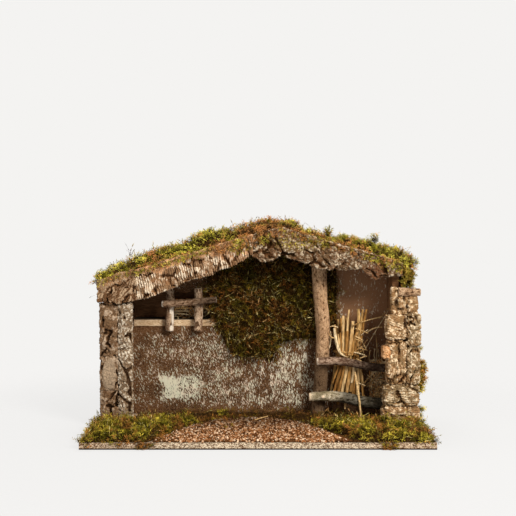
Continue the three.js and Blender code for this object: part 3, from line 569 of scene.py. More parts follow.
def chipboard():
    """Flakes, paler in the middle of the board's front, with pits and dark dots, darker towards its foot, and
    a painted contact shadow along its bottom edge.
    """
    made, tree, place = new_material("chipboard", 0.8)
    across, _, up = parts(place)
    flake_tone = add_node(tree, "ShaderNodeSeparateColor", {0: cells(place / (3.4, 3.4, 1.0))["Color"]})[0]
    tone = noise(place / (2.2, 2.2, 0.9), 3.0, 0.65)
    flaky = ease(flake_tone * 0.35 + tone * 0.65, 0.34, 0.54)
    colour = blend(flaky, (0.22, 0.12, 0.06), (0.74, 0.57, 0.40))
    middle = ease(maths("ABSOLUTE", across), 150.0, 115.0, 0.0, 0.6)
    colour = blend(middle, colour, blend(ease(tone, 0.42, 0.55), colour, (0.92, 0.81, 0.61)))
    pits = ease(noise(place / (1.5, 1.5, 0.9), 1.0), 0.44, 0.37)
    colour = blend(pits, colour, (0.085, 0.04, 0.018))
    # Darker towards the foot
    darker_at_foot = ease(up + tone * 2.4, 3.4, 1.6)
    colour = blend(darker_at_foot * 0.9, colour, (0.06, 0.028, 0.012))
    dots = ease(noise((place + (7, 0, 3)) / (1.5, 1.5, 1.0), 1.0), 0.57, 0.62, 0.0, 0.9)
    colour = blend(dots, colour, (0.10, 0.045, 0.018))
    # Painted contact shadow: a near-black line along the board's bottom edge
    colour = blend(ease(up, 1.9, 1.3), colour, (0.02, 0.009, 0.004))
    return dress(made, colour * 0.92, tone, 0.5)


def raw_wood():
    """Pale wood, much darker on its top."""
    made, tree, place = new_material("raw_wood", 0.7)
    tone = fibrous(place, (2.6, 2.6, 1.0), (0.84, 0.66, 0.44), (0.42, 0.24, 0.11), 0.8)
    top = in_mm(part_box("loft_floor"))[1].z
    # Much darker on the top face
    dark_top = ease(parts(place)[2], top - 0.9, top - 0.5, 1.0, 0.1)
    return dress(made, tone["Color"] * dark_top, tone["Height"], 0.3)


def brad_steel():
    made, tree, place = new_material("brad_steel", 0.35, Metallic=1.0)
    scratches = noise(place, 3.0, scale=2.5)
    return dress(made, blend(scratches, (0.42, 0.40, 0.37), (0.66, 0.64, 0.6)), scratches, 0.05)


boards = ("side_wall_left", "side_wall_right", "back_board", "roof_board_left", "roof_board_right")
brads = [name for name in cad_nodes if name.startswith("brad_")]
paint_solids(stained_board(), *boards)
paint_solids(chipboard(), "base_board")
paint_solids(raw_wood(), "loft_floor")
paint_solids(brad_steel(), *brads)
print("painted:", boards, "base, loft floor and", len(brads), "brads")

# %% [markdown]
# ## The painted wall
# The wall at the back was painted dark brown, and then a nearly dry brush with grey, white and pale green was
# dabbed over it: small slanting strokes, close together on the right and towards the ground, and one solid
# patch low on the left. Two layers of stretched noise give the strokes. Where they lie close is a formula of
# the place on the wall, so that the bare brown band under the loft stays.

# %% Dry-brushed paint
STROKE_SLANT = math.radians(20)
PATCH_MIDDLE = (-105.0, 66.0, 43.0)
PATCH_HALF = (25.0, 50.0, 14.5)
PAINT_CREAM = (0.68, 0.53, 0.39)
PAINT_GREEN = (0.58, 0.57, 0.42)
PAINT_BRIGHT = (0.84, 0.78, 0.64)
# The last brown is the stall's lighter ground, which is painted light
WALL_BROWNS = ((0.035, 0.014, 0.005), (0.10, 0.044, 0.017), (0.30, 0.165, 0.085), (0.40, 0.21, 0.11))


def strokes(place, width, length, slant, shift):
    """Fine specks, a little longer than wide and slanting."""
    inputs = {"Vector": place, "Angle": slant}
    turned = add_node(place.tree, "ShaderNodeVectorRotate", inputs, rotation_type="Y_AXIS")[0]
    return noise((turned + (shift, 0, shift)) / (width, 9.0, length), 3.0, 0.6)


def painted_wall():
    made, tree, place = new_material("dry_brushed_paint", 0.85)
    across, _, up = parts(place)
    clouds = noise(place / (24, 24, 17))
    wisps = noise(place / (7, 7, 12))

    # How much paint lies where: more to the right and low down, less at the foot and in the stall
    cover = ease(across, -165.0, -30.0, -0.075, -0.015) + ease(up, 120.0, 60.0, 0.0, 0.015)
    cover = cover - ease(up, 24.0, 10.0, 0.0, 0.12) - ease(up, 112.0, 124.0, 0.0, 0.06)
    cover = cover - ease(across, 84.0, 98.0, 0.0, 0.045) + centred(clouds, 0.20) + centred(wisps, 0.22)

    # The solid patch on the left, and the smears high up in the stall
    off_across, _, off_up = parts(maths("ABSOLUTE", (place - PATCH_MIDDLE) / PATCH_HALF))
    reach = maths("MAXIMUM", off_across, off_up) + centred(wisps, 1.5)
    solid = ease(reach, 1.25, 0.85) * ease(across, -116.0, -96.0, 1.0, 0.5)
    window = ease(across, 100.0, 112.0) * ease(up, 128.0, 150.0)
    smear = ease(noise((place + (5, 0, 0)) / (3.0, 9, 8), 3.0, 0.65), 0.42, 0.6, 0.02, 0.1) * window
    cover = cover + solid * 0.20 + smear * ease(across, 170.0, 130.0, 0.7, 1.3)

    specks = strokes(place, 1.1, 3.0, STROKE_SLANT, 0.0)
    threads = strokes(place, 1.1, 5.2, -STROKE_SLANT * 0.3, 40.0)
    to_threads = ease(across, -60.0, 10.0, 0.15, 0.45)
    wet = specks * (1.0 - to_threads) + threads * to_threads + cover
    paint = ease(wet, 0.53, 0.55)
    haze = ease(wet, 0.46, 0.54, 0.0, 0.2)

    dark, brown, light, lit_stall_brown = WALL_BROWNS
    grain = noise(place / 0.9)
    ground = blend(ease(clouds, 0.35, 0.65), dark, brown)
    ground = blend(ease(grain, 0.45, 0.6, 0.0, 0.65), ground, light)
    # Painted light: inside the stall the ground turns a lighter brown, most high up and least near the floor
    stall_painted_light = ease(across, 84.0, 98.0, 0.0, 0.8) * ease(up, 60.0, 205.0, 0.3, 1.0)
    ground = blend(stall_painted_light * ease(grain, 0.42, 0.6, 1.0, 0.5), ground, lit_stall_brown)
    hue = noise((place + (90, 0, 31)) / 13)
    greenish = maths("ADD", ease(hue, 0.42, 0.54), ease(across, 20.0, 50.0, 0.0, 0.7), clamp=True)
    pale = blend(greenish * (1.0 - window), PAINT_CREAM, PAINT_GREEN)
    pale = blend(solid * 0.8, pale, (0.78, 0.78, 0.60))
    pale = blend(ease(threads, 0.48, 0.64, 0.0, 0.8), pale, PAINT_BRIGHT)
    colour = blend(haze, ground, (0.34, 0.23, 0.15))
    return dress(made, blend(paint, colour, pale), paint + grain, 0.4)


paint_solids(painted_wall(), "painted_wall")
print("painted: painted_wall")

# %% [markdown]
# ## Cork bark
# Bark is a surface that follows rules: rounded ridges that run one way with narrow grooves between them,
# lumps, and a few deep cracks that divide it into blocks. Displacing a fine mesh by those three patterns is
# a job for Geometry Nodes, and one tree with sizes as inputs does the ridged slabs over the left of the
# roof, the lumpy ones on the right, the jambs and the stacked stones. The side that is glued to a board
# stays flat.

# %% The tree for cork bark
def facing_out(normal, inward):
    """1 on faces that show, and 0 on those that lie against the board."""
    return ease(maths("DOT_PRODUCT", normal, inward), 0.75, 0.1)


def store(geometry, name, value, domain="POINT"):
    inputs = {"Geometry": geometry, "Name": name, "Value": value}
    return add_node(geometry.tree, "GeometryNodeStoreNamedAttribute", inputs, data_type="FLOAT",
                    domain=domain)[0]


def named(tree, name):
    return add_node(tree, "GeometryNodeInputNamedAttribute", {"Name": name}, data_type="FLOAT")[0]


def geometry_step(kind, geometry, **inputs):
    return add_node(geometry.tree, "GeometryNode" + kind, {"Geometry": geometry, **inputs})[0]


def push_out(geometry, normal, height):
    """Moves points along the normal by a height in millimetres."""
    return geometry_step("SetPosition", geometry, Offset=normal * (height * MM))


def finish_piece(geometry, material):
    """Real geometry and a material, as the last steps of a tree."""
    return geometry_step("SetMaterial", geometry_step("RealizeInstances", geometry), Material=material)


def surface(tree):
    """The normal, and the place in millimetres."""
    place = add_node(tree, "GeometryNodeInputPosition")[0] * 1000.0
    return add_node(tree, "GeometryNodeInputNormal")[0], place


def carve(depth, height):
    return depth * (height - 1.0)


def bark_tree():
    tree, given = new_tree("Cork bark", "GeometryNodeTree", {
        "Geometry": "Geometry", "Into the board": (0, 1, 0), "Grain turn": 0.0, "Ridge pitch": 3.6,
        "Ridge length": 20.0, "Ridge depth": 2.0, "Wander": 9.0, "Lump size": 6.0, "Lump depth": 1.5,
        "Crumb size": 2.4, "Crumb depth": 0.8, "Crack size": 18.0, "Crack depth": 2.5, "Lift": 0.8,
        "Seed": 0.0,
        "Bark": "Material",
    }, {"Geometry": "Geometry"})
    inward = given["Into the board"]
    normal, place = surface(tree)
    turning = {"Vector": place, "Axis": inward, "Angle": given["Grain turn"]}
    turned = add_node(tree, "ShaderNodeVectorRotate", turning)[0]
    across = maths("DOT_PRODUCT", turned, maths("CROSS_PRODUCT", inward, (0, 0, 1)))
    moved = trio(across, parts(turned)[2], maths("DOT_PRODUCT", turned, inward)) + given["Seed"] * 37.7
    wander = noise(moved * (1 / 11), output=1) - 0.5
    bent = moved + wander * given["Wander"]

    # Ridges: a comb whose teeth sway, fade out in places and are broken across
    pitch, length = given["Ridge pitch"], given["Ridge length"]
    turns = parts(bent)[0] / pitch * math.pi
    comb = maths("POWER", maths("ABSOLUTE", maths("SINE", turns)), 0.6)
    strength = ease(noise(bent / trio(pitch * 2.5, length, length)), 0.32, 0.6, 0.2, 1.0)
    broken = ease(noise(bent / trio(pitch, length * 0.4, length)), 0.32, 0.44, 0.35, 1.0)
    ridge = (1.0 - strength * (1.0 - comb)) * broken

    pebbles = cells(bent / given["Lump size"])
    lump = maths("SUBTRACT", 1.0, maths("POWER", pebbles["Distance"], 1.5), clamp=True)
    tone = add_node(tree, "FunctionNodeSeparateColor", {0: pebbles["Color"]})[0]

    # Cracks run round large cells, but only here and there
    size = given["Crack size"]
    crack_place = bent / trio(size, size * 1.6, size)
    healed = ease(noise(crack_place, 1.0, scale=1.7), 0.46, 0.54)
    whole = maths("MAXIMUM", ease(cells(crack_place, "DISTANCE_TO_EDGE")["Distance"], 0.0, 0.09), healed)

    # Depths are added up, and what is marked smooth keeps a fifth of them
    rough = maths("SUBTRACT", 1.0, named(tree, "smooth"), clamp=True)
    worked = carve(given["Ridge depth"], ridge) + carve(given["Lump depth"], lump)
    worked = worked * (rough * 0.8 + 0.2) + carve(given["Crack depth"], whole) * rough
    crumbs = centred(noise(moved / given["Crumb size"], 3.0, 0.65), given["Crumb depth"])
    total = worked + crumbs * 3.5
    deepest = given["Ridge depth"] + (given["Lump depth"] + given["Crumb depth"])
    relief = maths("ADD", 1.0, total / (deepest * 0.8), clamp=True)

    kept = store(store(given["Geometry"], "relief", relief), "flake", tone)
    displaced = push_out(kept, normal, (total + given["Lift"]) * facing_out(normal, inward))
    return send_out(tree, Geometry=finish_piece(geometry_step("SetShadeSmooth", displaced), given["Bark"]))


BARK_TREE = bark_tree()
print("tree:", BARK_TREE.name)

# %% [markdown]
# All barks come from one material recipe. The left of the roof has pinkish tan cork with an orange edge, the
# right has grey flakes with yellow lichen. The jambs are grey brown, and the stack of stones is the palest.
# Marks that were stored, such as lichen, are mixed over the weathered tones.

# %% Bark materials
def weathered(place, relief, flake, colours, stain_share, patch, fleck):
    inputs = {"Place": place, "Relief": relief, "Flake": flake, "Stain share": stain_share,
              "Patch size": patch,
              "Fleck size": fleck, **dict(zip(("Deep", "Body", "Crest", "Stain"), colours))}
    return add_node(place.tree, "ShaderNodeGroup", inputs, node_tree=WEATHERED)


def darker(colour, share):
    return tuple(share * part for part in colour)


def bark_material(name, *colours, stain_share=0.4, patch=14.0, marks=None):
    """Weathered bark from its deep, body, crest and stain colours; the deep colour in the cracks is partly
    painted shade. A mark has a tint and a share of specks.
    """
    made, tree, place = new_material(name, 0.9)
    relief = stored(tree, "relief")
    tone = weathered(place, relief, stored(tree, "flake"), colours, stain_share, patch, 1.3)
    colour = tone["Color"]
    specks = noise(place / 2.1, 2.0, 0.65)
    dips = ease(relief, 0.2, 0.6, 0.25, 1.0)
    for label, (tint, fill) in (marks or {}).items():
        dots = stored(tree, label) * ease(specks, 0.75 - fill, 0.87 - fill)
        tinted = blend(ease(specks, 0.3, 0.7), darker(tint, 0.5), tint)
        colour = blend(dots * dips, colour, tinted)
    return dress(made, colour, tone["Height"], 0.6)


# Painted shadow: near-black dots in the pockets between the chips
HOLLOW = {"hollow": ((0.03, 0.012, 0.004), 0.6)}
LEFT_FASCIA_BARK = bark_material(
    "ridged_cork", (0.03, 0.010, 0.002), (0.32, 0.185, 0.095), (0.86, 0.74, 0.57), (0.40, 0.19, 0.08),
    marks={"lip": ((0.86, 0.50, 0.27), 0.5), "warm": ((0.84, 0.50, 0.28), 0.28)},
)
LEFT_END_BARK = bark_material(
    "swirly_cork", (0.025, 0.010, 0.003), (0.19, 0.095, 0.043), (0.46, 0.33, 0.21), (0.16, 0.075, 0.03),
    stain_share=0.5, marks={"lip": ((0.42, 0.22, 0.10), 0.3)},
)
RIGHT_FASCIA_BARK = bark_material(
    "flaky_cork", (0.025, 0.010, 0.002), (0.16, 0.092, 0.045), (0.56, 0.46, 0.33), (0.17, 0.075, 0.03),
    stain_share=0.6, patch=8.0, marks={"lichen": ((0.50, 0.40, 0.06), 0.24),
                                       "lobe": ((0.21, 0.088, 0.04), 0.33)},
)
JAMB_BARK = bark_material(
    "jamb_cork", (0.025, 0.011, 0.004), (0.21, 0.122, 0.063), (0.46, 0.35, 0.25), (0.14, 0.068, 0.03),
    stain_share=0.5, marks={"plate": ((0.50, 0.37, 0.25), 0.5)},
)
PALE_JAMB_BARK = bark_material(
    "lichened_cork", (0.035, 0.016, 0.006), (0.28, 0.19, 0.115), (0.76, 0.68, 0.55), (0.20, 0.115, 0.06),
    patch=8.0,
)
STONE_BARK = bark_material(
    "stone_cork", (0.045, 0.016, 0.004), (0.35, 0.195, 0.085), (0.88, 0.69, 0.46), (0.24, 0.155, 0.07),
    stain_share=0.6, patch=7.0, marks=HOLLOW,
)
GREY_STONE_BARK = bark_material(
    "grey_stone_cork", (0.04, 0.017, 0.005), (0.27, 0.18, 0.09), (0.80, 0.66, 0.46), (0.33, 0.17, 0.065),
    stain_share=0.6, patch=7.0, marks=HOLLOW,
)
ORANGE_BARK = bark_material(
    "orange_cork", (0.16, 0.065, 0.024), (0.56, 0.28, 0.115), (0.70, 0.42, 0.22), (0.42, 0.2, 0.08),
    stain_share=0.3,
)
print("bark materials: 8")

# %% [markdown]
# Now the slabs. The fascias lie along the slopes of the roof, so their ridges are turned by the slope. The
# upper edge of the left ones was peeled and curls over as a smoother orange lip: a mark made from the
# distance to the roof line says where, and both the tree and the material read it.

# %% Fascias
FRONT = (0.0, 1.0, 0.0)  # bark that faces the viewer has its board behind it
FASCIA_VOXEL = 0.58


def roof_line(side):
    """Height of a roof board's top over x, in millimetres, from the corners of its box."""
    low, high = in_mm(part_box(f"roof_board_{side}"))
    corners = np.array([vertex.co for vertex in cad_nodes[f"roof_board_{side}"].data.vertices]) / MM
    ends = [corners[np.isclose(corners[:, 0], x, atol=0.2)][:, 2].max() for x in (low.x, high.x)]
    return lambda x: np.interp(x, [low.x, high.x], ends)


ROOF_LEFT = roof_line("left")
ROOF_RIGHT = roof_line("right")


def below_roof(points):
    """How far points lie below the roof boards' top."""
    return np.minimum(ROOF_LEFT(points[:, 0]), ROOF_RIGHT(points[:, 0])) - points[:, 2]


def add_bark(name, solid, voxel, values, material, slot, marks=None, **changes):
    """The bark over one solid. Changes are inputs of the tree, with low lines for spaces in their names."""
    piece = skin(name, solid, voxel, 5)
    mark_by(piece, marks)
    changed = {label.replace("_", " "): value for label, value in changes.items()}
    hand_over(grow(piece, BARK_TREE, {"Bark": material, **values, **changed}), [solid])


def lip(points):
    """The curled edge along the top of the left fascias, with a wavy lower border."""
    edge = 5.5 + wavy(points[:, 0], 3.6, 11, 3.9, 1.7)
    return 1 - step(below_roof(points), edge - 1.5, edge + 1.5)


def spot_at(*where):
    return lambda points: spot(points, *where)


LIP_MARKS = {"smooth": lip, "lip": lip, "warm": spot_at(-26, 232, 18, 14, 0.5)}
LICHEN_MARKS = {"lichen": spot_at(53, 240, 30, 9, 0.6), "lobe": spot_at(149, 204, 12, 15, 0.3)}
LEFT_RIDGES = {"Into the board": FRONT, "Grain turn": 0.22, "Ridge pitch": 2.9, "Ridge length": 15.0,
               "Ridge depth": 2.4, "Wander": 4.0, "Lump size": 9.0, "Lump depth": 0.8, "Crumb size": 1.7,
               "Crumb depth": 0.75, "Crack size": 21.0, "Crack depth": 2.2, "Lift": 1.1}
LEFT_END = {**LEFT_RIDGES, "Grain turn": -0.6, "Ridge pitch": 3.4, "Wander": 10.0}
RIGHT_FLAKES = {"Into the board": FRONT, "Grain turn": 0.9, "Ridge pitch": 5.2, "Ridge length": 9.0,
                "Ridge depth": 0.8, "Lump size": 3.6, "Lump depth": 2.1, "Crumb size": 1.7,
                "Crumb depth": 1.4,
                "Crack size": 24.0, "Crack depth": 2.8, "Lift": 1.1}
for number in range(1, 5):
    solid = f"fascia_left_{number}"
    values, material = (LEFT_END, LEFT_END_BARK) if number == 1 else (LEFT_RIDGES, LEFT_FASCIA_BARK)
    add_bark(solid + "_bark", solid, FASCIA_VOXEL, values, material, "tan_cork", LIP_MARKS, Seed=number * 1.0)
for number in range(1, 4):
    solid = f"fascia_right_{number}"
    add_bark(solid + "_bark", solid, FASCIA_VOXEL, RIGHT_FLAKES, RIGHT_FASCIA_BARK, "grey_cork", LICHEN_MARKS,
             Seed=10.0 + number)

# %% [markdown]
# The jamb's outer plates are coarse and brown, with one smooth tan plate among them, and its inner plates are
# a strip of small grey lumps with a straight edge. The left side is covered by two large slabs of the same
# bark, with their ridges upright, as on the tree.

# %% Jambs and side bark
OUTER_JAMB = {"Into the board": FRONT, "Grain turn": -0.2, "Ridge pitch": 6.0, "Ridge length": 11.0,
              "Ridge depth": 1.4, "Lump size": 5.0, "Lump depth": 1.4, "Crumb size": 1.8, "Crumb depth": 1.1,
              "Crack size": 21.0, "Crack depth": 3.4, "Lift": 1.1}
INNER_JAMB = {"Into the board": FRONT, "Grain turn": 0.35, "Ridge pitch": 4.0, "Ridge length": 8.0,
              "Ridge depth": 0.9, "Lump size": 2.9, "Lump depth": 1.8, "Crumb size": 1.5, "Crumb depth": 1.1,
              "Crack size": 24.0, "Crack depth": 2.6, "Lift": 1.0}
SIDE_BARK = {"Into the board": (1.0, 0.0, 0.0), "Grain turn": 0.15, "Ridge pitch": 7.0, "Ridge length": 30.0,
             "Ridge depth": 2.6, "Lump size": 9.0, "Lump depth": 1.6, "Crumb size": 2.4, "Crumb depth": 0.9,
             "Crack size": 28.0, "Crack depth": 4.0, "Lift": 1.2}
JAMB_VOXEL = 0.75
tan_plate = spot_at(-191, 70, 8.5, 21, 0.2)
PLATE_MARKS = {"smooth": tan_plate, "plate": tan_plate}

for number, part in enumerate(("foot", "middle", "top")):
    add_bark(f"jamb_outer_{part}", f"jamb_bark_outer_{part}", JAMB_VOXEL, OUTER_JAMB, JAMB_BARK, "grey_cork",
             PLATE_MARKS, Seed=20.0 + number)
for number, part in enumerate(("foot", "top")):
    add_bark(f"jamb_inner_{part}", f"jamb_bark_inner_{part}", JAMB_VOXEL, INNER_JAMB, PALE_JAMB_BARK,
             "grey_cork",
             Seed=24.0 + number)
for number, part in enumerate(("front", "rear")):
    add_bark(f"side_slab_{part}", f"side_bark_left_{part}", 1.1, SIDE_BARK, JAMB_BARK, "grey_cork",
             Seed=28.0 + number)

# %% [markdown]
# The stones on the right are blocks of tan cork. The lower ones lie flat, so their layers run across, and the
# upper ones stand, so their fissures run up. Turning the grain by a quarter makes one into the other.

# %% Cork stones
QUARTER = math.pi / 2
STONE = {"Into the board": FRONT, "Ridge pitch": 2.9, "Ridge length": 11.0, "Ridge depth": 1.8,
         "Lump size": 4.6, "Lump depth": 1.4, "Crumb size": 1.7, "Crumb depth": 1.1, "Crack size": 21.0,
         "Crack depth": 2.4, "Lift": 1.8}
CHIP = {**STONE, "Ridge pitch": 5.0, "Ridge length": 9.0, "Ridge depth": 0.8, "Crack depth": 0.6}
STONES = {
    "foot": (STONE, QUARTER, STONE_BARK),
    "low": (STONE, QUARTER * 0.94, GREY_STONE_BARK),
    "centre": (STONE, 0.1, STONE_BARK),
    "orange": (CHIP, 0.3, ORANGE_BARK),
    "right": (STONE, -0.15, GREY_STONE_BARK),
    "shoulder": (STONE, 0.35, GREY_STONE_BARK),
    "upper": (STONE, QUARTER * 0.8, STONE_BARK),
}
POCKETS = ((176, 163, 2.4, 6), (186, 168, 2, 3), (190, 158, 2.5, 3.5), (181, 155, 5, 1.6), (186, 138, 1.6, 7))


def hollow(points):
    """Shadowed pockets between the chips at the top."""
    return np.max([spot(points, *pocket, 0.5) for pocket in POCKETS], axis=0)


for number, (part, (values, turn, material)) in enumerate(STONES.items()):
    add_bark(f"stone_{part}", f"cork_stone_{part}", JAMB_VOXEL, values, material, "tan_cork",
             {"hollow": hollow},
             Grain_turn=turn, Seed=40.0 + number)
for number, part in enumerate(("chip_left", "chip_right", "edge_strip")):
    add_bark(f"stone_{part}", f"cork_{part}", JAMB_VOXEL, CHIP, STONE_BARK, "tan_cork", {"hollow": hollow},
             Grain_turn=0.2 * number, Seed=50.0 + number)

# %% [markdown]
# ## Branches
# The posts and rails are branches with their bark on, sawn or snapped at the ends. Their bark is thin and
# smooth, so a light displacement is enough: shallow ripples round the branch and a few lenticels. The cut ends
# are found by the way their faces point along the branch, and get the colour of bare wood. The post's foot and
# the right ends of the rails are darkened with painted shade.

# %% The tree for branch bark
def branch_tree():
    tree, given = new_tree("Branch bark", "GeometryNodeTree", {
        "Geometry": "Geometry", "Along": (0, 0, 1), "Ripple depth": 0.5, "Ripple size": (3.0, 3.0, 9.0),
        "Sway depth": 1.6, "Bark": "Material",
    }, {"Geometry": "Geometry"})
    normal, place = surface(tree)
    ripple = noise(place / given["Ripple size"], 3.0, 0.55)
    sway = noise(place / 17, 1.0)
    cut = ease(maths("ABSOLUTE", maths("DOT_PRODUCT", normal, given["Along"])), 0.7, 0.85)
    bare = named(tree, "bare")
    wood = maths("MAXIMUM", cut, bare)
    height = (ripple - 0.45) * (given["Ripple depth"] * 3.0) + centred(sway, given["Sway depth"])
    height = height * (1.0 - wood) - bare * 0.5
    kept = store(store(given["Geometry"], "wood", wood), "relief", ease(ripple, 0.3, 0.62))
    displaced = geometry_step("SetShadeSmooth", push_out(kept, normal, height))
    return send_out(tree, Geometry=finish_piece(displaced, given["Bark"]))


def branch_material(name, *colours, wood, fleck=1.1, stain_share=0.35, painted_shade=None):
    """Thin bark. Painted shade can darken it from one place towards another: an axis, where it starts, where
    it ends, and what share of light is left."""
    made, tree, place = new_material(name, 0.75)
    tone = weathered(place, stored(tree, "relief") + 0.15, 0.5, colours, stain_share, 19.0, fleck)
    specks = ease(cells(place / 2.1)["Distance"], 0.24, 0.12)
    colour = blend(specks * 0.75, tone["Color"], colours[0])
    bare = blend(ease(noise(place / 0.9, 3.0), 0.35, 0.65), darker(wood, 0.72), wood)
    colour = blend(stored(tree, "wood"), colour, bare)
    if painted_shade:
        axis, start, end, least = painted_shade
        colour = colour * ease(parts(place)[axis], start, end, 1.0, least)
    return dress(made, colour, tone["Height"] - specks, 0.3)


BRANCH_TREE = branch_tree()
TAN_WOOD = (0.62, 0.46, 0.3)
PALE_WOOD = (0.95, 0.84, 0.7)
# Painted shade: the post darkens towards its foot, between the rails
POST_BARK = branch_material(
    "post_bark", (0.07, 0.03, 0.012), (0.38, 0.225, 0.12), (0.56, 0.36, 0.21), (0.30, 0.175, 0.09),
    wood=TAN_WOOD,
    fleck=1.2, painted_shade=(2, 104.0, 66.0, 0.33),
)
STUB_BARK = branch_material(
    "stub_bark", (0.05, 0.02, 0.008), (0.31, 0.18, 0.095), (0.60, 0.42, 0.27), (0.24, 0.14, 0.07),
    wood=TAN_WOOD,
    fleck=1.2,
)
RAIL_BARK = branch_material(
    "rail_bark", (0.05, 0.023, 0.011), (0.22, 0.125, 0.07), (0.60, 0.44, 0.30), (0.14, 0.073, 0.038),
    wood=PALE_WOOD,
)
# Painted shade: the loft rail darkens towards its right end
LOFT_RAIL_BARK = branch_material(
    "loft_rail_bark", (0.045, 0.02, 0.009), (0.20, 0.11, 0.06), (0.46, 0.31, 0.20), (0.12, 0.062, 0.03),
    wood=PALE_WOOD, painted_shade=(0, -104.0, -60.0, 0.3),
)
# Painted shade: the manger rail darkens towards its right end, by the right wall
MANGER_BARK = branch_material(
    "manger_bark", (0.03, 0.012, 0.005), (0.16, 0.088, 0.054), (0.44, 0.31, 0.22), (0.09, 0.044, 0.025),
    wood=(0.90, 0.76, 0.6), stain_share=0.5, painted_shade=(0, 96.0, 140.0, 0.3),
)
# Painted shade: the birch log goes almost black towards its right end
BIRCH_BARK = branch_material(
    "birch_bark", (0.035, 0.021, 0.008), (0.37, 0.30, 0.19), (0.80, 0.71, 0.54), (0.12, 0.095, 0.04),
    wood=(0.90, 0.72, 0.5), fleck=0.8, stain_share=0.6, painted_shade=(0, 93.0, 117.0, 0.17),
)
print("tree:", BRANCH_TREE.name)


# %% Posts and rails
def add_branch(name, solid, along, material, bare=None, sway=1.6, smoothing=8):
    piece = skin(name, solid, 0.8, smoothing)
    if bare:
        mark(piece, "bare", bare(places(piece)))
    size = tuple(4.5 if part else 2.6 for part in along)
    values = {"Along": along, "Ripple depth": 0.4, "Ripple size": size, "Sway depth": sway, "Bark": material}
    hand_over(grow(piece, BRANCH_TREE, values), [solid])


UPRIGHT = (0.0, 0.0, 1.0)
LEVEL = (1.0, 0.0, 0.0)


def teardrop(points):
    """Where a twig was torn off the loft's left post: a pale scar that runs out downwards."""
    head = spot(points, -112.2, 147, 4.8, 5.2, 0.15)
    tail = spot(points, -113, 138, 1.6, 9, 0.4)
    foot = spot(points, -114.5, 124, 2.6, 4.0, 0.3)
    facing = points[:, 1] < points[:, 1].mean()
    return np.maximum(np.maximum(head, tail), foot) * facing


def left_end(points, length=2.2):
    """The bark splintered off where a rail was snapped."""
    edge = points[:, 0].min() + length + wavy(points[:, 2], 0.7, 0.9, 0.5)
    return 1 - step(points[:, 0], edge - 0.4, edge + 0.4)


def knot_ring(points):
    """The ring of a cut twig on the front of the birch log, beside its splintered end."""
    front = in_mm(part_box("birch_rail"))[0].y
    ring = spot(points, 84.6, 38.6, 2.2, 2.0, 0.3) * (points[:, 1] < front + 5)
    return np.maximum(ring, left_end(points, 3.5))


add_branch("post_trunk", "main_post", UPRIGHT, POST_BARK)
add_branch("loft_post_left_branch", "loft_post_left", UPRIGHT, RAIL_BARK, teardrop)
add_branch("loft_post_right_branch", "loft_post_right", UPRIGHT, RAIL_BARK)
add_branch("loft_rail_branch", "loft_rail", LEVEL, LOFT_RAIL_BARK, left_end, 0.8)
add_branch("manger_rail_branch", "manger_rail", LEVEL, MANGER_BARK, left_end, 0.5, 26)
add_branch("birch_log", "birch_rail", LEVEL, BIRCH_BARK, knot_ring, 1.0, 14)
add_branch("stack_cap_stub", "cork_stack_cap", LEVEL, STUB_BARK)

# %% [markdown]
# ## Moss
# Sheet moss is a mat of feathery sprigs, a few millimetres long, so close that only their tips catch light
# and everything under them is dark. Particles or hair would look alike, but the model has to be a mesh, so
# Geometry Nodes scatter small sprig meshes over the mat's skin. A sprig is a curved stem with leaflets,
# each of only four faces, because there are thousands. Its tip and its leaf colour are stored for the
# material.

# %% Sprigs
PATTERNS = 5  # of each sort
GOLDEN_ANGLE = 2.4
rng = np.random.default_rng(7)


def new_patterns(name):
    made = bpy.data.collections.new(name)
    scene.collection.children.link(made)
    return made


SPRIGS = new_patterns("moss_sprigs")
FRONDS = new_patterns("moss_fronds")
CURLS = new_patterns("moss_curls")


def leaflet(base, tip, width, points, faces, shares, share):
    """A closed leaf of four faces: a root, a tip, and two raised corners between them."""
    along = tip - base
    side = along.cross(Vector((0.3, 0.2, 1))).normalized() * width
    lift = along.cross(side).normalized() * width * -0.6
    middle = base + along * 0.4 + lift
    first = len(points)
    points += [base, middle + side, middle - side, tip]
    faces += [(first, first + 1, first + 2), (first + 1, first + 3, first + 2)]
    faces += [(first, first + 3, first + 1), (first, first + 2, first + 3)]
    shares += [share * 0.6, share, share, min(1.0, share + 0.35)]


def make_sprig(name, collection, height, leaflets, leaf, leaf_width, bend, stem_width):
    """A curved stem with leaflets round it, in millimetres, rooted at the origin and growing along Z."""
    points, faces, shares = [], [], []
    turn = rng.uniform(0, 2 * math.pi)

    def stem(share):
        sway = bend * share * share
        return Vector((sway * math.cos(turn), sway * math.sin(turn), height * share))

    joints = [0, 0.35, 0.65, 1.0]
    for low, high in zip(joints, joints[1:]):
        leaflet(stem(low), stem(high), stem_width, points, faces, shares, 0.2 + 0.6 * low)
    for number in range(leaflets):
        share = 0.18 + 0.8 * (number + rng.uniform(0, 0.6)) / leaflets
        angle = number * GOLDEN_ANGLE + rng.uniform(-0.5, 0.5)
        out = Vector((math.cos(angle), math.sin(angle), rng.uniform(0.3, 1.2))).normalized()
        reach = leaf * (1.15 - 0.5 * share) * rng.uniform(0.7, 1.25)
        leaflet(stem(share), stem(share) + out * reach, leaf_width, points, faces, shares, share)
    mark(add_mesh(name, [point * MM for point in points], faces, collection), "tip", shares)


for number in range(PATTERNS):
    make_sprig(f"sprig_{number}", SPRIGS, rng.uniform(5.0, 9.0), 9, 4.6, 0.4, rng.uniform(1.5, 5.0), 0.3)
    make_sprig(f"frond_{number}", FRONDS, rng.uniform(9, 14), 8, 3.8, 0.42, rng.uniform(3, 8), 0.32)
    make_sprig(f"curl_{number}", CURLS, rng.uniform(9, 16), 1, 2.4, 0.45, rng.uniform(5, 13), 0.52)
print("patterns of each sort:", PATTERNS)


# %% The tree for moss
def any_number(tree, low, high, seed):
    return add_node(tree, "FunctionNodeRandomValue", {2: low, 3: high, "Seed": seed}, data_type="FLOAT")[1]


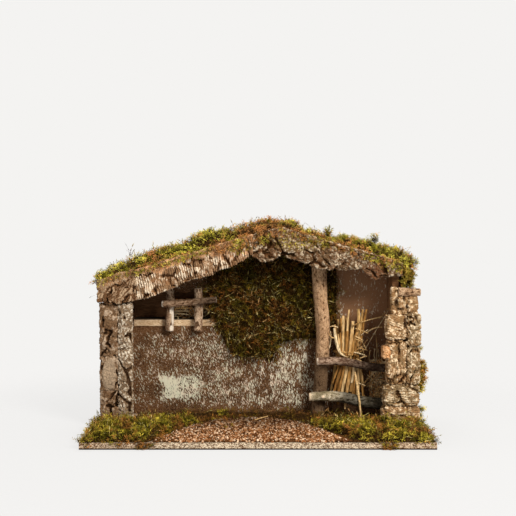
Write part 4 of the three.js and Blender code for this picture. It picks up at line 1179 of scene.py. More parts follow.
def moss_tree():
    tree, given = new_tree("Moss mat", "GeometryNodeTree", {
        "Geometry": "Geometry", "Sprigs": "Collection", "Into the board": (0, 0, -1), "Growth": (0, 0, 0),
        "Density": 150000.0, "Gaps": 0.6, "Spread": 1.0, "Size": 1.0, "Clump size": 12.0, "Clump height": 9.0,
        "Grit height": 3.0, "Sink": 2.0, "Keep the mat": True, "Seed": 1, "Ground": "Material",
        "Leaf": "Material",
    }, {"Geometry": "Geometry"})
    inward = given["Into the board"]
    normal, place = surface(tree)
    clumps = noise(place / given["Clump size"])
    grit = noise(place, 2.0, 0.6, scale=0.25)
    height = centred(grit, given["Grit height"]) + centred(clumps, given["Clump height"])
    height = (height - (given["Sink"] + named(tree, "sunk"))) * facing_out(normal, inward)
    mat = geometry_step("SetShadeSmooth", push_out(given["Geometry"], normal, height))

    # Sprigs stand close on the clumps and far apart between them, and none stand where it is bald
    showing = maths("LESS_THAN", maths("DOT_PRODUCT", normal, inward), 0.25)
    thin = ease(clumps, 0.54, 0.42) * given["Gaps"]
    share = maths("SUBTRACT", 1.0 - thin, named(tree, "bald"), clamp=True)
    sowing = {"Mesh": mat, "Selection": showing, "Density": given["Density"] * share, "Seed": given["Seed"]}
    scatter = add_node(tree, "GeometryNodeDistributePointsOnFaces", sowing)
    around = {0: (-1, -1, -1), 1: (1, 1, 1), "Seed": 3}
    strewn = add_node(tree, "FunctionNodeRandomValue", around, data_type="FLOAT_VECTOR")[0]
    heading = scatter["Normal"] + strewn * given["Spread"] + given["Growth"]
    size = any_number(tree, 0.6, 1.3, 5) * ease(clumps, 0.35, 0.65, 0.7, 1.25)
    choice = {4: 0, 5: PATTERNS - 1, "Seed": 9}
    leaves = {"Collection": given["Sprigs"], "Separate Children": True, "Reset Children": True}
    planted = add_node(tree, "GeometryNodeInstanceOnPoints", {
        "Points": scatter["Points"],
        "Instance": add_node(tree, "GeometryNodeCollectionInfo", leaves)[0],
        "Pick Instance": True,
        "Instance Index": add_node(tree, "FunctionNodeRandomValue", choice, data_type="INT")[2],
        "Rotation": add_node(tree, "FunctionNodeAlignRotationToVector", {"Vector": heading}, axis="Z")[0],
        "Scale": size * given["Size"],
    })[0]
    turn = trio(0.0, 0.0, any_number(tree, 0.0, 2 * math.pi, 11))
    planted = add_node(tree, "GeometryNodeRotateInstances", {"Instances": planted, "Rotation": turn})[0]
    planted = store(planted, "tint", any_number(tree, 0.0, 1.0, 13), "INSTANCE")
    leafy = finish_piece(planted, given["Leaf"])
    earthy = geometry_step("SetMaterial", mat, Material=given["Ground"])
    keeping = {"Switch": given["Keep the mat"], "True": earthy}
    kept = add_node(tree, "GeometryNodeSwitch", keeping, input_type="GEOMETRY")[0]
    return send_out(tree, Geometry=add_node(tree, "GeometryNodeJoinGeometry", {0: [kept, leafy]})[0])


MOSS_TREE = moss_tree()
print("tree:", MOSS_TREE.name)

# %% [markdown]
# Dried moss is many colours at once: olive green, yellow green where it gets light, and rust brown where it
# died off. Each sprig takes one by its own random number, shifted by broad patches over the mat. Along the
# sprig it runs from a near-black root to bright tips, which is painted shade for the dark deep in the close
# mat. The mat below is earth brown.

# %% Moss materials
def moss_tones_group():
    tree, given = new_tree("Moss tones", "ShaderNodeTree", {
        "Place": "Vector", "Tint": 0.5, "Tip": 0.5, "Dry": 0.0, "Green": (0.12, 0.12, 0.01, 1),
        "Yellow": (0.4, 0.32, 0.05, 1), "Rust": (0.3, 0.14, 0.04, 1), "Root": (0.03, 0.018, 0.006, 1),
    }, {"Color": "Color"})
    leaning = given["Tint"] * 0.3 + noise(given["Place"] / 20)
    fresh = blend(ease(leaning, 0.52, 0.78), given["Green"], given["Yellow"])
    second_tint = maths("FRACT", given["Tint"] * 7.3)
    dying = second_tint * 0.22 + noise((given["Place"] + (61, 17, 43)) / 22) + given["Dry"]
    colour = blend(ease(dying, 0.62, 0.78), fresh, given["Rust"])
    # Painted shade: the colour runs to the near-black root colour towards each sprig's root
    colour = blend(ease(given["Tip"], 0.2, 0.9), given["Root"], colour)
    return send_out(tree, Color=colour * (second_tint * 0.95 + 0.52))


MOSS_TONES = moss_tones_group()


def moss_material(name, green, yellow, rust, root=(0.022, 0.011, 0.002), dry=0.0):
    made, tree, place = new_material(name, 0.6)
    inputs = {"Place": place, "Tint": stored(tree, "tint"), "Tip": stored(tree, "tip"),
              "Dry": stored(tree, "dry") + dry, "Green": green, "Yellow": yellow, "Rust": rust, "Root": root}
    return dress(made, add_node(tree, "ShaderNodeGroup", inputs, node_tree=MOSS_TONES)["Color"])


def moss_earth(name, dark, light):
    made, tree, place = new_material(name, 0.95)
    grain = noise(place / 1.4, 3.0, 0.6)
    return dress(made, blend(ease(grain, 0.42, 0.68), dark, light), grain, 1.2)


EARTH = moss_earth("moss_earth", (0.02, 0.009, 0.002), (0.10, 0.05, 0.012))
LIVE_GROUND = moss_earth("moss_stems", (0.07, 0.045, 0.005), (0.42, 0.31, 0.045))
ROOF_MOSS = moss_material("roof_moss_leaf", (0.27, 0.24, 0.015), (0.90, 0.80, 0.12), (0.58, 0.26, 0.08))
EAVE_MOSS = moss_material("eave_moss_leaf", (0.34, 0.28, 0.02), (0.90, 0.76, 0.14), (0.52, 0.25, 0.06),
                          root=(0.12, 0.08, 0.01))
FLOOR_MOSS = moss_material("floor_moss_leaf", (0.13, 0.115, 0.006), (0.66, 0.54, 0.06), (0.38, 0.16, 0.035),
                           dry=0.03)
WALL_MOSS = moss_material("wall_moss_leaf", (0.07, 0.06, 0.004), (0.26, 0.18, 0.02), (0.20, 0.075, 0.014),
                          dry=0.05)
CURL_MOSS = moss_material("moss_curl", (0.46, 0.34, 0.13), (0.66, 0.5, 0.24), (0.46, 0.26, 0.11), dry=-0.1)
WALL_CURLS = moss_material("wall_moss_curl", (0.28, 0.22, 0.05), (0.72, 0.60, 0.26), (0.44, 0.24, 0.09))
FLOOR_CURLS = moss_material("floor_moss_curl", (0.30, 0.27, 0.03), (0.78, 0.66, 0.26), (0.60, 0.33, 0.12),
                            dry=0.02)
INNER_MOSS = moss_material("inner_moss_leaf", (0.12, 0.085, 0.006), (0.28, 0.17, 0.02), (0.22, 0.095, 0.028),
                           dry=0.1)
print("moss materials: 10")

# %% Helpers for moss
DOWN = (0.0, 0.0, -1.0)
MOSS_REACH = (12.0, 5.5, 7.5)  # how far sprigs may stand past the stable's box, in millimetres


def join_pieces(name, pieces):
    """Joins meshes that are one piece into the first of them."""
    if len(pieces) > 1:
        with bpy.context.temp_override(active_object=pieces[0], selected_editable_objects=pieces):
            bpy.ops.object.join()
    pieces[0].name = name
    pieces[0].data.name = name
    return pieces[0]


def cloth(name, columns, rows, place, dry=0.0):
    """A sheet of ground to sow on, from a formula that gives its points in millimetres."""
    steps = [(i / columns, j / rows) for j in range(rows + 1) for i in range(columns + 1)]
    points = [tuple(c * MM for c in place(*pair)) for pair in steps]
    wide = columns + 1
    starts = [j * wide + i for j in range(rows) for i in range(columns)]
    made = add_mesh(name, points, [(first, first + wide, first + wide + 1, first + 1) for first in starts])
    mark(made, "dry", np.full(len(points), dry))
    return made


def hold_in(piece):
    """Bends sprigs that reach too far beyond the stable's box back in, and lifts those below the ground."""
    points = places(piece)
    for axis, reach in enumerate(MOSS_REACH):
        soft = reach * 0.6
        for side, limit in ((-1, cad_box[0][axis] / MM - reach), (1, cad_box[1][axis] / MM + reach)):
            over = (points[:, axis] - limit) * side + soft
            bent = limit + side * (soft * np.tanh(over / soft) - soft)
            points[:, axis] = np.where(over > 0, bent, points[:, axis])
    points[:, 2] = np.maximum(points[:, 2], 0.3)
    put_back(piece, points)
    piece.data.update()


BARE_GROUND = {"Sprigs": SPRIGS, "Ground": EARTH, "Keep the mat": False, "Sink": 0.0, "Clump height": 0.0,
               "Grit height": 0.0, "Gaps": 0.0}


def add_moss(name, solid, values, leaf, voxel=2.2, extras=(), marks=None, shape=None):
    """A mat on its solid, with extra layers of sprigs, all one piece. A formula can reshape the mat first."""
    piece = skin(name, solid, voxel, 4)
    if shape:
        put_back(piece, shape(places(piece)))
    mark_by(piece, marks)
    ground = piece.data.copy()
    layers = [grow(piece, MOSS_TREE, {"Sprigs": SPRIGS, "Ground": EARTH, "Leaf": leaf, **values})]
    same = {key: values[key] for key in ("Into the board", "Growth", "Sink") if key in values}
    for number, extra in enumerate(extras):
        patch = extra.pop("patch", None) or add_object(f"{name}_layer_{number}", ground.copy())
        layers.append(grow(patch, MOSS_TREE, {**BARE_GROUND, "Leaf": leaf, **same, **extra}))
    whole = join_pieces(name, layers)
    hold_in(whole)
    hand_over(whole, [solid])


print("moss is sown with", MOSS_TREE.name)

# %% [markdown]
# The roof's moss hangs over the top of the bark, deeper near the ridge, where it is dry and brown. A hem does
# this: a strip of ground that runs over the bark's upper edge and down its front, on which more sprigs are
# sown. A few bigger tufts stick out of the roof's outline, and thin pale curls lie over everything.

# %% Moss on the roof and the eave
def hem(name, first, last, depths, dry):
    """A strip over the fascias' upper edge, from x to x. Its depths down the front are at even steps."""
    spots = np.linspace(first, last, len(depths))

    def place(along, down):
        x = first + (last - first) * along
        top = min(ROOF_LEFT(x), ROOF_RIGHT(x))
        drop = np.interp(x, spots, depths)
        if down < 0.5:
            return (x, 17 - 31 * down, top + 6.5)
        return (x, 1.2, top + 6 - (drop + 6) * (down - 0.5) * 2)

    return cloth(name, 60, 6, place, dry)


def tuft(name, x, y, z, width=4.0, dry=0.0):
    return cloth(name, 2, 2, lambda along, near: (x + width * (along - 0.5), y - width * (near - 0.5), z),
                 dry)


def dry_roof(points):
    """Moss near the roof boards and along the ridge is older and drier."""
    low_edge = 0.22 * (1 - step(-below_roof(points), 1.0, 7.0))
    return np.maximum(low_edge, 0.16 * (1 - step(np.abs(points[:, 0] - 5), 20, 55)))


def thinner(points):
    """How much thinner the mat lies than its solid, and thicker where negative."""
    x = points[:, 0]
    shoulder = 1 - step(np.abs(x + 68), 14, 34)
    dip = np.maximum(1 - step(np.abs(x - 67), 8, 26), 1.1 - 1.1 * step(np.abs(x - 92), 13, 25))
    return 6.0 * dip - 4.5 * shoulder - 4.5 * step(x, 172, 188)


def thin_at_the_back(points):
    """Fewer sprigs towards the back, which few people see."""
    return 0.5 * step(points[:, 1], 40, 70)


ROOF = {"Into the board": DOWN, "Growth": (0.0, -0.35, 0.2), "Density": 165000.0, "Spread": 1.3, "Sink": 3.8,
        "Clump height": 9.0, "Size": 0.8, "Gaps": 0.7}
HEM = {"Into the board": FRONT, "Growth": (0.0, -0.3, -0.2), "Density": 230000.0, "Spread": 1.2, "Size": 0.62}
TUFT = {"Into the board": DOWN, "Growth": (0.0, 0.0, 0.9), "Density": 900000.0, "Spread": 0.9, "Size": 1.35}
THREADS = {"Sprigs": CURLS, "Leaf": CURL_MOSS, "Density": 5000.0, "Spread": 1.4, "Sink": 0.5, "Size": 0.75}
DARK_THREADS = {"Sprigs": CURLS, "Leaf": WALL_MOSS, "Into the board": DOWN, "Growth": (0.3, 0.0, 0.5),
                "Density": 330000.0, "Spread": 0.7, "Size": 0.8}
add_moss(
    "moss_on_roof_left", "roof_moss_left", {**ROOF, "Seed": 1}, ROOF_MOSS,
    marks={"dry": dry_roof, "sunk": thinner, "bald": thin_at_the_back},
    extras=[
        {**HEM, "Seed": 21, "patch": hem("hem_left", -205, -58, (0.5, 0.5, 2, 3, 3.5), 0.0)},
        {**HEM, "Seed": 22, "patch": hem("hem_ridge", -60, -8, (2, 6, 9, 12, 12), 0.14)},
        {**HEM, "Seed": 26, "patch": hem("hem_rust", -175, -60, (1, 3, 3.5, 5), 0.3), "Density": 70000.0},
        {**THREADS, "Seed": 24},
        {**DARK_THREADS, "Seed": 27, "patch": tuft("threads_left", -164, 18, 225, 3)},
        {**DARK_THREADS, "Seed": 28, "patch": tuft("threads_middle", -153, 18, 224, 3)},
        {**DARK_THREADS, "Seed": 29, "patch": tuft("threads_end", -207, 4, 176, 3),
         "Growth": (-1.5, 0.0, -0.5)},
    ],
)
add_moss(
    "moss_on_roof_right", "roof_moss_right", {**ROOF, "Sink": 5.0, "Seed": 2}, ROOF_MOSS,
    marks={"dry": dry_roof, "sunk": thinner},
    extras=[
        {**TUFT, "Seed": 23, "patch": tuft("tuft_ridge", 17, 26, 266, 6, 0.1)},
        {**HEM, "Seed": 31, "patch": hem("hem_middle", -8, 60, (10, 7, 5, 4), 0.16)},
        {**HEM, "Seed": 32, "patch": hem("hem_right", 50, 186, (3, 5, 4, 5, 7, 8), 0.08)},
        {**TUFT, "Seed": 33, "patch": tuft("tuft_middle", 90, 22, 251)},
        {**TUFT, "Seed": 34, "patch": tuft("tuft_right", 150, 22, 243)},
        {**THREADS, "Seed": 35},
    ],
)
EAVE = {"Into the board": (-1.0, 0.0, 0.0), "Growth": (-0.4, -0.1, -0.5), "Density": 240000.0, "Sink": 3.5,
        "Clump height": 3.0, "Grit height": 1.5, "Size": 0.55, "Ground": LIVE_GROUND}
CORNER = {"Into the board": FRONT, "Growth": (-0.2, -0.2, -0.3), "Density": 280000.0, "Sink": 3.0,
          "Size": 0.5,
          "Clump height": 2.5, "Grit height": 1.5, "Ground": LIVE_GROUND}


def tapered(points, thin=0.3, waves=3.0):
    """Moss under the eave hangs down to a thin, wavy edge."""
    x, y, z = points.T
    share = (z - z.min()) / (z.max() - z.min())
    narrow = x.min() + (x - x.min()) * (thin + (1 - thin) * share)
    raised = z + (1 - share) * waves * (0.6 + 0.4 * np.sin(y / 5.0) + 0.4 * np.sin(y / 2.3 + x / 3))
    return np.column_stack([narrow, y, raised])


def cut_off(points):
    """The corner's moss is cut off aslant on its lower right."""
    return tapered(points, 0.15, 1.0)


add_moss("moss_on_eave_right", "eave_moss_right", {**EAVE, "Seed": 3}, EAVE_MOSS, voxel=1.4, shape=tapered)
add_moss("moss_on_eave_corner", "eave_moss_corner", {**CORNER, "Seed": 9}, EAVE_MOSS, voxel=1.4,
         marks={"dry": lambda points: np.full(len(points), 0.06)}, shape=cut_off)

# %% [markdown]
# The ground's moss is darker, and brown where the gravel starts. It spills over the front edge of the board
# in three places. On the wall it is a dark mat of fronds with pale curls, and on the right side a few tufts
# reach out beyond the stones.

# %% Moss on the ground and the walls
base_low, base_high = in_mm(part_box("base_board"))
gravel_top = in_mm(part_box("gravel_bed"))[1].z
TONGUE_FIRST, TONGUE_LAST, TONGUE_DEEP = 94.0, 131.0, 42.0


def spill(name, first, last, drop):
    """A flap of ground over the front edge of the board."""
    front, top = base_low.y - 0.3, base_high.z + 1
    return cloth(name, 6, 3, lambda along, down: (first + (last - first) * along, front, top - drop * down),
                 0.1)


def border(name, side, width=34):
    """A strip of the gravel's edge on one side, from the front of the board to the tip of the gravel."""
    low, high = in_mm(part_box("gravel_bed"))
    middle, half = (low.x + high.x) / 2, (high.x - low.x) / 2
    depth = high.y - low.y

    def place(away, across):
        reach = half * max(0.0, 1 - away ** 2.3) ** 0.5
        return (middle + side * (reach - width * across), low.y + depth * away * 0.97, high.z + 0.5)

    return cloth(name, 24, 4, place, 0.15)


def tongue(points):
    """Where gravel runs out along the front edge over the moss's place."""
    x, y = points[:, 0], points[:, 1] - base_low.y + wavy(points[:, 0], 1.5, 5, 2)
    deep = TONGUE_DEEP * np.clip((TONGUE_LAST - x) / (TONGUE_LAST - TONGUE_FIRST), 0, 1)
    return 1 - step(y - deep, -3, 2)


def at_the_back(along, near):
    return (-74 + 130 * along, 4 + 26 * near + 10 * along, gravel_top + 0.4 - 2 * near)


FLOOR = {"Into the board": DOWN, "Growth": (0.0, -0.2, 0.25), "Density": 170000.0, "Spread": 1.3, "Sink": 3.0,
         "Size": 0.8, "Clump height": 7.0}
SPILL = {"Into the board": FRONT, "Growth": (0.0, 0.2, -0.5), "Density": 900000.0, "Size": 0.5, "Sink": 0.0}
CORNER_TUFT = {**SPILL, "Density": 260000.0, "Into the board": DOWN, "Size": 0.8}
GROUND_THREADS = {**THREADS, "Leaf": FLOOR_CURLS, "Density": 20000.0, "Sink": 0.0, "Size": 0.7}
LITTER = {"Into the board": DOWN, "Density": 14000.0, "Spread": 2.5, "Size": 0.5, "Sink": 0.3}
INNER = {**FLOOR, "Density": 60000.0, "Size": 0.6, "Sink": 2.0, "Clump height": 3.0}
WALL_TUFT = {**INNER, "Leaf": FLOOR_MOSS, "Density": 260000.0, "Size": 0.8}
add_moss(
    "moss_front_left", "floor_moss_front_left", {**FLOOR, "Seed": 4}, FLOOR_MOSS,
    extras=[
        {**SPILL, "Seed": 41, "patch": spill("spill_left", -166, -160, 5)},
        {**SPILL, "Seed": 42, "patch": spill("spill_middle", -143, -122, 6)},
        {**CORNER_TUFT, "Seed": 44, "patch": tuft("corner_tuft", -203, -96, 9, 16)},
        {**GROUND_THREADS, "Seed": 43},
        {**LITTER, "Seed": 45, "patch": border("litter_left", -1)},
        {**FLOOR, "Seed": 47, "patch": border("fringe_left", -1, 13), "Size": 0.7},
        {**LITTER, "Seed": 46, "patch": tuft("litter_middle", -38, -24, gravel_top + 0.3, 15),
         "Density": 70000.0},
    ],
)
add_moss(
    "moss_front_right", "floor_moss_front_right", {**FLOOR, "Seed": 5}, FLOOR_MOSS,
    marks={"bald": tongue, "sunk": lambda points: 8.0 * tongue(points)},
    extras=[
        {**SPILL, "Seed": 51, "patch": spill("spill_right", 146, 164, 8)},
        {**GROUND_THREADS, "Seed": 53},
        {**LITTER, "Seed": 55, "patch": border("litter_right", 1)},
        {**LITTER, "Seed": 56, "patch": border("fringe_right", 1, 9), "Density": 60000.0},
    ],
)
add_moss(
    "moss_inside", "floor_moss_inner", {**INNER, "Seed": 6}, INNER_MOSS,
    extras=[
        {**WALL_TUFT, "Seed": 61, "patch": tuft("tuft_by_the_wall", -46, 34, 15, 10, -0.3)},
        {**THREADS, "Seed": 62, "Leaf": FLOOR_CURLS, "Size": 0.6},
        {**LITTER, "Seed": 63, "patch": cloth("litter_at_the_back", 20, 4, at_the_back, 0.2),
         "Density": 60000.0},
    ],
)


def ragged(points):
    """Lets the border of the moss on the wall come and go."""
    around = points[:, 0] + points[:, 2]
    return 2.0 + wavy(around, 2.4, 5.1, 1.9) + wavy(points[:, 0] - points[:, 2], 1.6, 3.3)


WALL = {"Sprigs": FRONDS, "Into the board": FRONT, "Growth": (0.0, -0.1, -0.5), "Density": 70000.0,
        "Spread": 1.2,
        "Sink": 1.5, "Clump height": 5.0}
add_moss(
    "moss_on_wall", "wall_moss", {**WALL, "Seed": 7}, WALL_MOSS, marks={"sunk": ragged},
    extras=[
        {**THREADS, "Leaf": WALL_CURLS, "Density": 42000.0, "Seed": 71, "Size": 0.9,
         "Growth": (0.0, 0.2, 0.0),
         "Sink": -0.5},
        {**WALL, "Seed": 72, "Density": 26000.0, "Spread": 3.0, "Size": 0.9, "Sink": 0.0},
    ],
)
SIDE = {"Into the board": (-1.0, 0.0, 0.0), "Growth": (0.3, -0.1, 0.2), "Density": 100000.0, "Sink": 2.0}
SIDE_TUFT = {**TUFT, "Growth": (2.4, -0.8, -0.2), "Size": 1.0, "Density": 520000.0, "Leaf": EAVE_MOSS}
# The heights of the tufts and their widths
SIDE_TUFTS = {16: 7, 24: 8, 48: 8, 53: 9, 58: 10, 63: 10, 68: 10, 73: 10, 78: 10, 84: 8, 104: 5}
add_moss(
    "moss_on_side_right", "side_moss_right", {**SIDE, "Seed": 8}, ROOF_MOSS,
    extras=[{**SIDE_TUFT, "Seed": z, "patch": tuft(f"side_tuft_{z}", 205, 22, z, width)}
            for z, width in SIDE_TUFTS.items()],
)

# %% [markdown]
# ## Gravel
# The yard is strewn with crushed brick and stone, in chips of one to two millimetres. They lie on a bed of
# glue and dust, which the solid gives. The chips are scattered over its top in any position, each with a
# random size and one of a few colours from rust to pale pink.

# %% Gravel chips
CHIPS = new_patterns("gravel_chips")
CHIP_SIZE = 2.1 * MM
CHIP_COLOURS = [
    (0.0, (0.06, 0.02, 0.004)),
    (0.20, (0.32, 0.125, 0.04)),
    (0.32, (0.54, 0.285, 0.13)),
    (0.46, (0.12, 0.04, 0.01)),
    (0.63, (0.74, 0.48, 0.29)),
    (0.74, (0.36, 0.155, 0.058)),
    (0.88, (0.93, 0.72, 0.51)),
]


def gravel_chip(name):
    shape = bmesh.new()
    bmesh.ops.create_cube(shape, size=CHIP_SIZE)
    for vertex in shape.verts:
        vertex.co = Vector(vertex.co[k] * rng.uniform(0.35, 1.15) for k in range(3))
    bmesh.ops.triangulate(shape, faces=shape.faces)
    mesh = bpy.data.meshes.new(name)
    shape.to_mesh(mesh)
    shape.free()
    mark(add_object(name, mesh, CHIPS), "tip", [1.0] * len(mesh.vertices))


for number in range(PATTERNS):
    gravel_chip(f"chip_{number}")


def crumbs_and_shade(place):
    """Darker towards the back: partly earth and moss crumbs trodden in, partly painted shade inside the
    stable.
    """
    away = parts(place)[1] + centred(noise(place / (11, 15, 11)), 90.0)
    return ease(away, -55.0, 18.0, 1.0, 0.42)


def gravel_material():
    made, tree, place = new_material("gravel_stone", 0.7)
    made_ramp = add_node(tree, "ShaderNodeValToRGB", {0: stored(tree, "tint")})
    ramp = made_ramp.node.color_ramp
    ramp.interpolation = "CONSTANT"
    for start, colour in CHIP_COLOURS:
        stop = ramp.elements.new(start) if start else ramp.elements[0]
        stop.color = (*colour, 1)
    ramp.elements.remove(ramp.elements[-1])
    grit = noise(place, scale=1.8)
    colour = blend(ease(grit, 0.4, 0.7, 0.0, 0.35), made_ramp[0], (0.25, 0.11, 0.05))
    return dress(made, colour * crumbs_and_shade(place), grit, 0.3)


def gravel_dust():
    made, tree, place = new_material("gravel_dust", 0.95)
    grit = noise(place, 3.0, 0.7, scale=0.9)
    colour = blend(ease(grit, 0.38, 0.62), (0.03, 0.011, 0.002), (0.17, 0.07, 0.022))
    return dress(made, colour * crumbs_and_shade(place), grit, 0.8)


def run_out(along, near):
    """The tongue of gravel along the front edge, on the right."""
    x = TONGUE_FIRST - 4 + (TONGUE_LAST - TONGUE_FIRST) * along
    y = base_low.y + 0.6 + near * (1.5 + TONGUE_DEEP * (1 - along))
    return (x, y, base_high.z + 2.4 - 1.2 * along)


GRAVEL = {"Sprigs": CHIPS, "Into the board": DOWN, "Density": 330000.0, "Gaps": 0.45, "Spread": 2.0,
          "Size": 1.0,
          "Sink": 0.9, "Clump size": 14.0, "Clump height": 0.0, "Grit height": 0.8, "Seed": 12,
          "Ground": gravel_dust(), "Leaf": gravel_material()}
layers = [grow(skin("gravel_yard", "gravel_bed", 1.6, 3), MOSS_TREE, GRAVEL)]
layers.append(grow(cloth("gravel_tongue", 12, 4, run_out), MOSS_TREE, {**GRAVEL, "Gaps": 0.0, "Sink": 0.0}))
hand_over(join_pieces("gravel_yard", layers), ["gravel_bed"])

# %% [markdown]
# ## Straw and hay
# A straw is a flattened tube along a path, so each is a curve, and one tree sweeps an oval along all of them.
# The sheaf's straws come from a loop, pinched where the tie holds them and fanned out above and below. The hay
# is a tangle of thin random curls, and the few long straws that catch the eye are laid one by one.

# %% The tree for straw
def straw_tree():
    tree, given = new_tree("Straw along a path", "GeometryNodeTree", {
        "Geometry": "Geometry", "Width": 3.0, "Thickness": 1.0, "Corners": 8, "Broadside": (0.3, 0.2, 1.0),
        "Seed": 1, "Straw": "Material",
    }, {"Geometry": "Geometry"})
    curves = store(given["Geometry"], "tint", any_number(tree, 0.0, 1.0, 21), "CURVE")
    curves = store(curves, "girth", any_number(tree, 0.82, 1.22, given["Seed"]), "CURVE")
    share = add_node(tree, "GeometryNodeSplineParameter")[0]
    curves = store(curves, "tip", share)
    taper = ease(maths("MINIMUM", share, 1.0 - share), 0.0, 0.04, 0.7, 1.0)
    facing = {"Curve": curves, "Normal": given["Broadside"]}
    curves = add_node(tree, "GeometryNodeSetCurveNormal", facing, mode="FREE")[0]
    circle = {"Resolution": given["Corners"], "Radius": 0.5 * MM}
    ring = add_node(tree, "GeometryNodeCurvePrimitiveCircle", circle, mode="RADIUS")[0]
    oval = geometry_step("Transform", ring, Scale=trio(given["Width"], given["Thickness"], 1.0))
    sweep = {"Curve": curves, "Profile Curve": oval, "Scale": named(tree, "girth") * taper, "Fill Caps": True}
    swept = add_node(tree, "GeometryNodeCurveToMesh", sweep)[0]
    return send_out(tree, Geometry=finish_piece(swept, given["Straw"]))


STRAW_TREE = straw_tree()


def straw_material(name, dark, body, pale):
    made, tree, place = new_material(name, 0.5)
    lines = noise(place / (1.0, 1.0, 14))
    tone = stored(tree, "tint") * 0.6 + noise(place / (7, 7, 14)) * 0.6
    colour = blend(ease(tone, 0.2, 0.55), dark, body)
    colour = blend(ease(tone, 0.52, 0.85), colour, pale)
    return dress(made, colour * ease(lines, 0.36, 0.6, 0.38, 1.12), lines, 0.2)


DEEP_STRAW = straw_material("deep_straw", (0.20, 0.08, 0.016), (0.46, 0.235, 0.065), (0.70, 0.44, 0.17))
GOLDEN = straw_material("golden_straw", (0.21, 0.085, 0.018), (0.47, 0.245, 0.072), (0.75, 0.51, 0.24))
PALE_STRAW = straw_material("pale_straw", (0.42, 0.23, 0.075), (0.68, 0.44, 0.19), (0.88, 0.69, 0.42))
# Painted light: the hay is paler and brighter than its own colour, to make up for the light that hardly
# reaches the stall and the loft
HAY_PAINTED_LIGHTER = straw_material("brown_hay", (0.50, 0.20, 0.06), (0.95, 0.55, 0.22), (1.0, 0.84, 0.52))


def strands(name, paths, width, thickness, material, seed, corners=8, slant=None, broadside=(0.3, 0.2, 1.0)):
    """Paths in millimetres as one curve object, swept into straws that are wide in one direction."""
    curve = bpy.data.curves.new(name, "CURVE")
    curve.dimensions = "3D"
    for number, path in enumerate(paths):
        spline = curve.splines.new("NURBS")
        spline.points.add(len(path) - 1)
        for point, place in zip(spline.points, path):
            point.co = (*(c * MM for c in place), 1)
            point.tilt = slant[number] if slant else 0.0
        spline.use_endpoint_u = True
        spline.order_u = min(4, len(path))
        spline.resolution_u = 4
    values = {"Width": width, "Thickness": thickness, "Corners": corners, "Seed": seed, "Straw": material,
              "Broadside": broadside}
    return grow(add_object(name, curve), STRAW_TREE, values)


# %% [markdown]
# The sheaf's box from the frame gives its middle, its foot and its head. Straws near the middle stand
# straight and reach highest, and those at the rim lean out and are cut shorter.

# %% The sheaf
SHEAF_STRAWS = 34
WAIST_HALF = Vector((15.0, 7.5, 0))
sheaf_low, sheaf_high = in_mm(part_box("straw_sheaf"))
tie_low, tie_high = in_mm(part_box("sheaf_tie"))
waist = (tie_low + tie_high) / 2


def sheaf_paths():
    made = []
    for number in range(SHEAF_STRAWS):
        reach = math.sqrt((number + 0.5) / SHEAF_STRAWS)
        angle = number * GOLDEN_ANGLE
        across, deep = reach * math.cos(angle), reach * math.sin(angle)
        lean = rng.uniform(-0.3, 0.3)
        head = sheaf_high.z - 8 - 26 * reach * rng.uniform(0.2, 1.6)
        foot = sheaf_low.z + rng.uniform(0, 18)

        def at(spread, swing, z, depth):
            x = waist.x + WAIST_HALF.x * (across * spread + swing)
            return (x, waist.y + WAIST_HALF.y * deep * depth, z)

        above = (head + waist.z) / 2
        below = (foot + waist.z) / 2
        made.append([
            at(1.5, -lean, foot, 1.15),
            at(1.2, -lean * 0.5, below, 1.1),
            at(0.95, 0, waist.z, 1.0),
            at(1.1, lean * 0.5, above, 1.05),
            at(1.25 + rng.uniform(-0.2, 0.1), lean, head, 1.15),
        ])
    return made


def from_waist(*steps):
    """A path given by how far its points lie right of the waist, above it and in front of the sheaf."""
    front = waist.y - WAIST_HALF.y - 2.5
    return [(waist.x + right, front - ahead, waist.z + up) for right, up, ahead in steps]


# The flattened stalks that can be told apart at the front, above the waist and below it
broad_stalks = [
    from_waist((-7, -4, 0), (-7, 20, -1), (-7, 48, -3)),
    from_waist((1, -4, 1), (4, 17, 0), (6, 41, -2)),
    from_waist((-3, -5, 1), (-3, 12, 1), (-2, 28, 0)),
    from_waist((4, -4, 2), (6, 15, 1), (11, 29, 0), (17, 32, -2)),
    from_waist((-6, -12, 1), (-10, -22, 1), (-19, -52, 0)),
    from_waist((-4, -12, 2), (-6, -24, 2), (-14, -56, 0)),
    from_waist((-1, -12, 2), (-3, -26, 3), (-10, -60, 1)),
    from_waist((3, -12, 1), (2, -26, 2), (-3, -58, 0)),
    from_waist((-9, -3, 0), (-10, 10, 0), (-11, 26, -1)),
    from_waist((8, -3, 0), (10, 12, 0), (12, 27, -1)),
    from_waist((6, -12, 1), (8, -26, 1), (3, -52, 0)),
    from_waist((11, -12, 0), (14, -28, 0), (12, -58, -1)),
]
narrow_stalks = [
    from_waist((-3, 2, 0), (-2, 33, -2), (1, 56, -4)),
    from_waist((-11, -4, 1), (-12, 10, 1), (-14, 24, 0)),
    from_waist((9, -4, 1), (10, 8, 0), (10, 22, 0)),
    from_waist((14, -12, 0), (20, -26, 0), (19, -58, 0)),
    from_waist((-12, -16, 1), (-16, -26, 1), (-21, -42, 0)),
    from_waist((8, -14, 0), (9, -34, 1), (5, -60, 0)),
]
# A few old ones that reach up on the right
brown_stalks = [
    from_waist((11, 8, 0), (15, 34, -2), (13, 57, -4)),
    from_waist((12, 8, -1), (16, 35, -3), (19, 56, -5)),
    from_waist((15, 8, -2), (19, 35, -4), (24, 56, -6)),
]
# A stalk that is bent over the tie on the left, and a few broken ones
pale_stalks = [
    from_waist((-19, 32, 1), (-17, 17, 2), (-14, 3, 3), (-9, -4, 4), (-1, -6, 4)),
    from_waist((7, -16, 3), (7, -26, 3), (4, -40, 2)),
    from_waist((15, -18, 1), (17, -28, 1), (19, -42, 0)),
    from_waist((-3, -56, 5), (-4, -66, 6), (-5, -74, 6)),
]
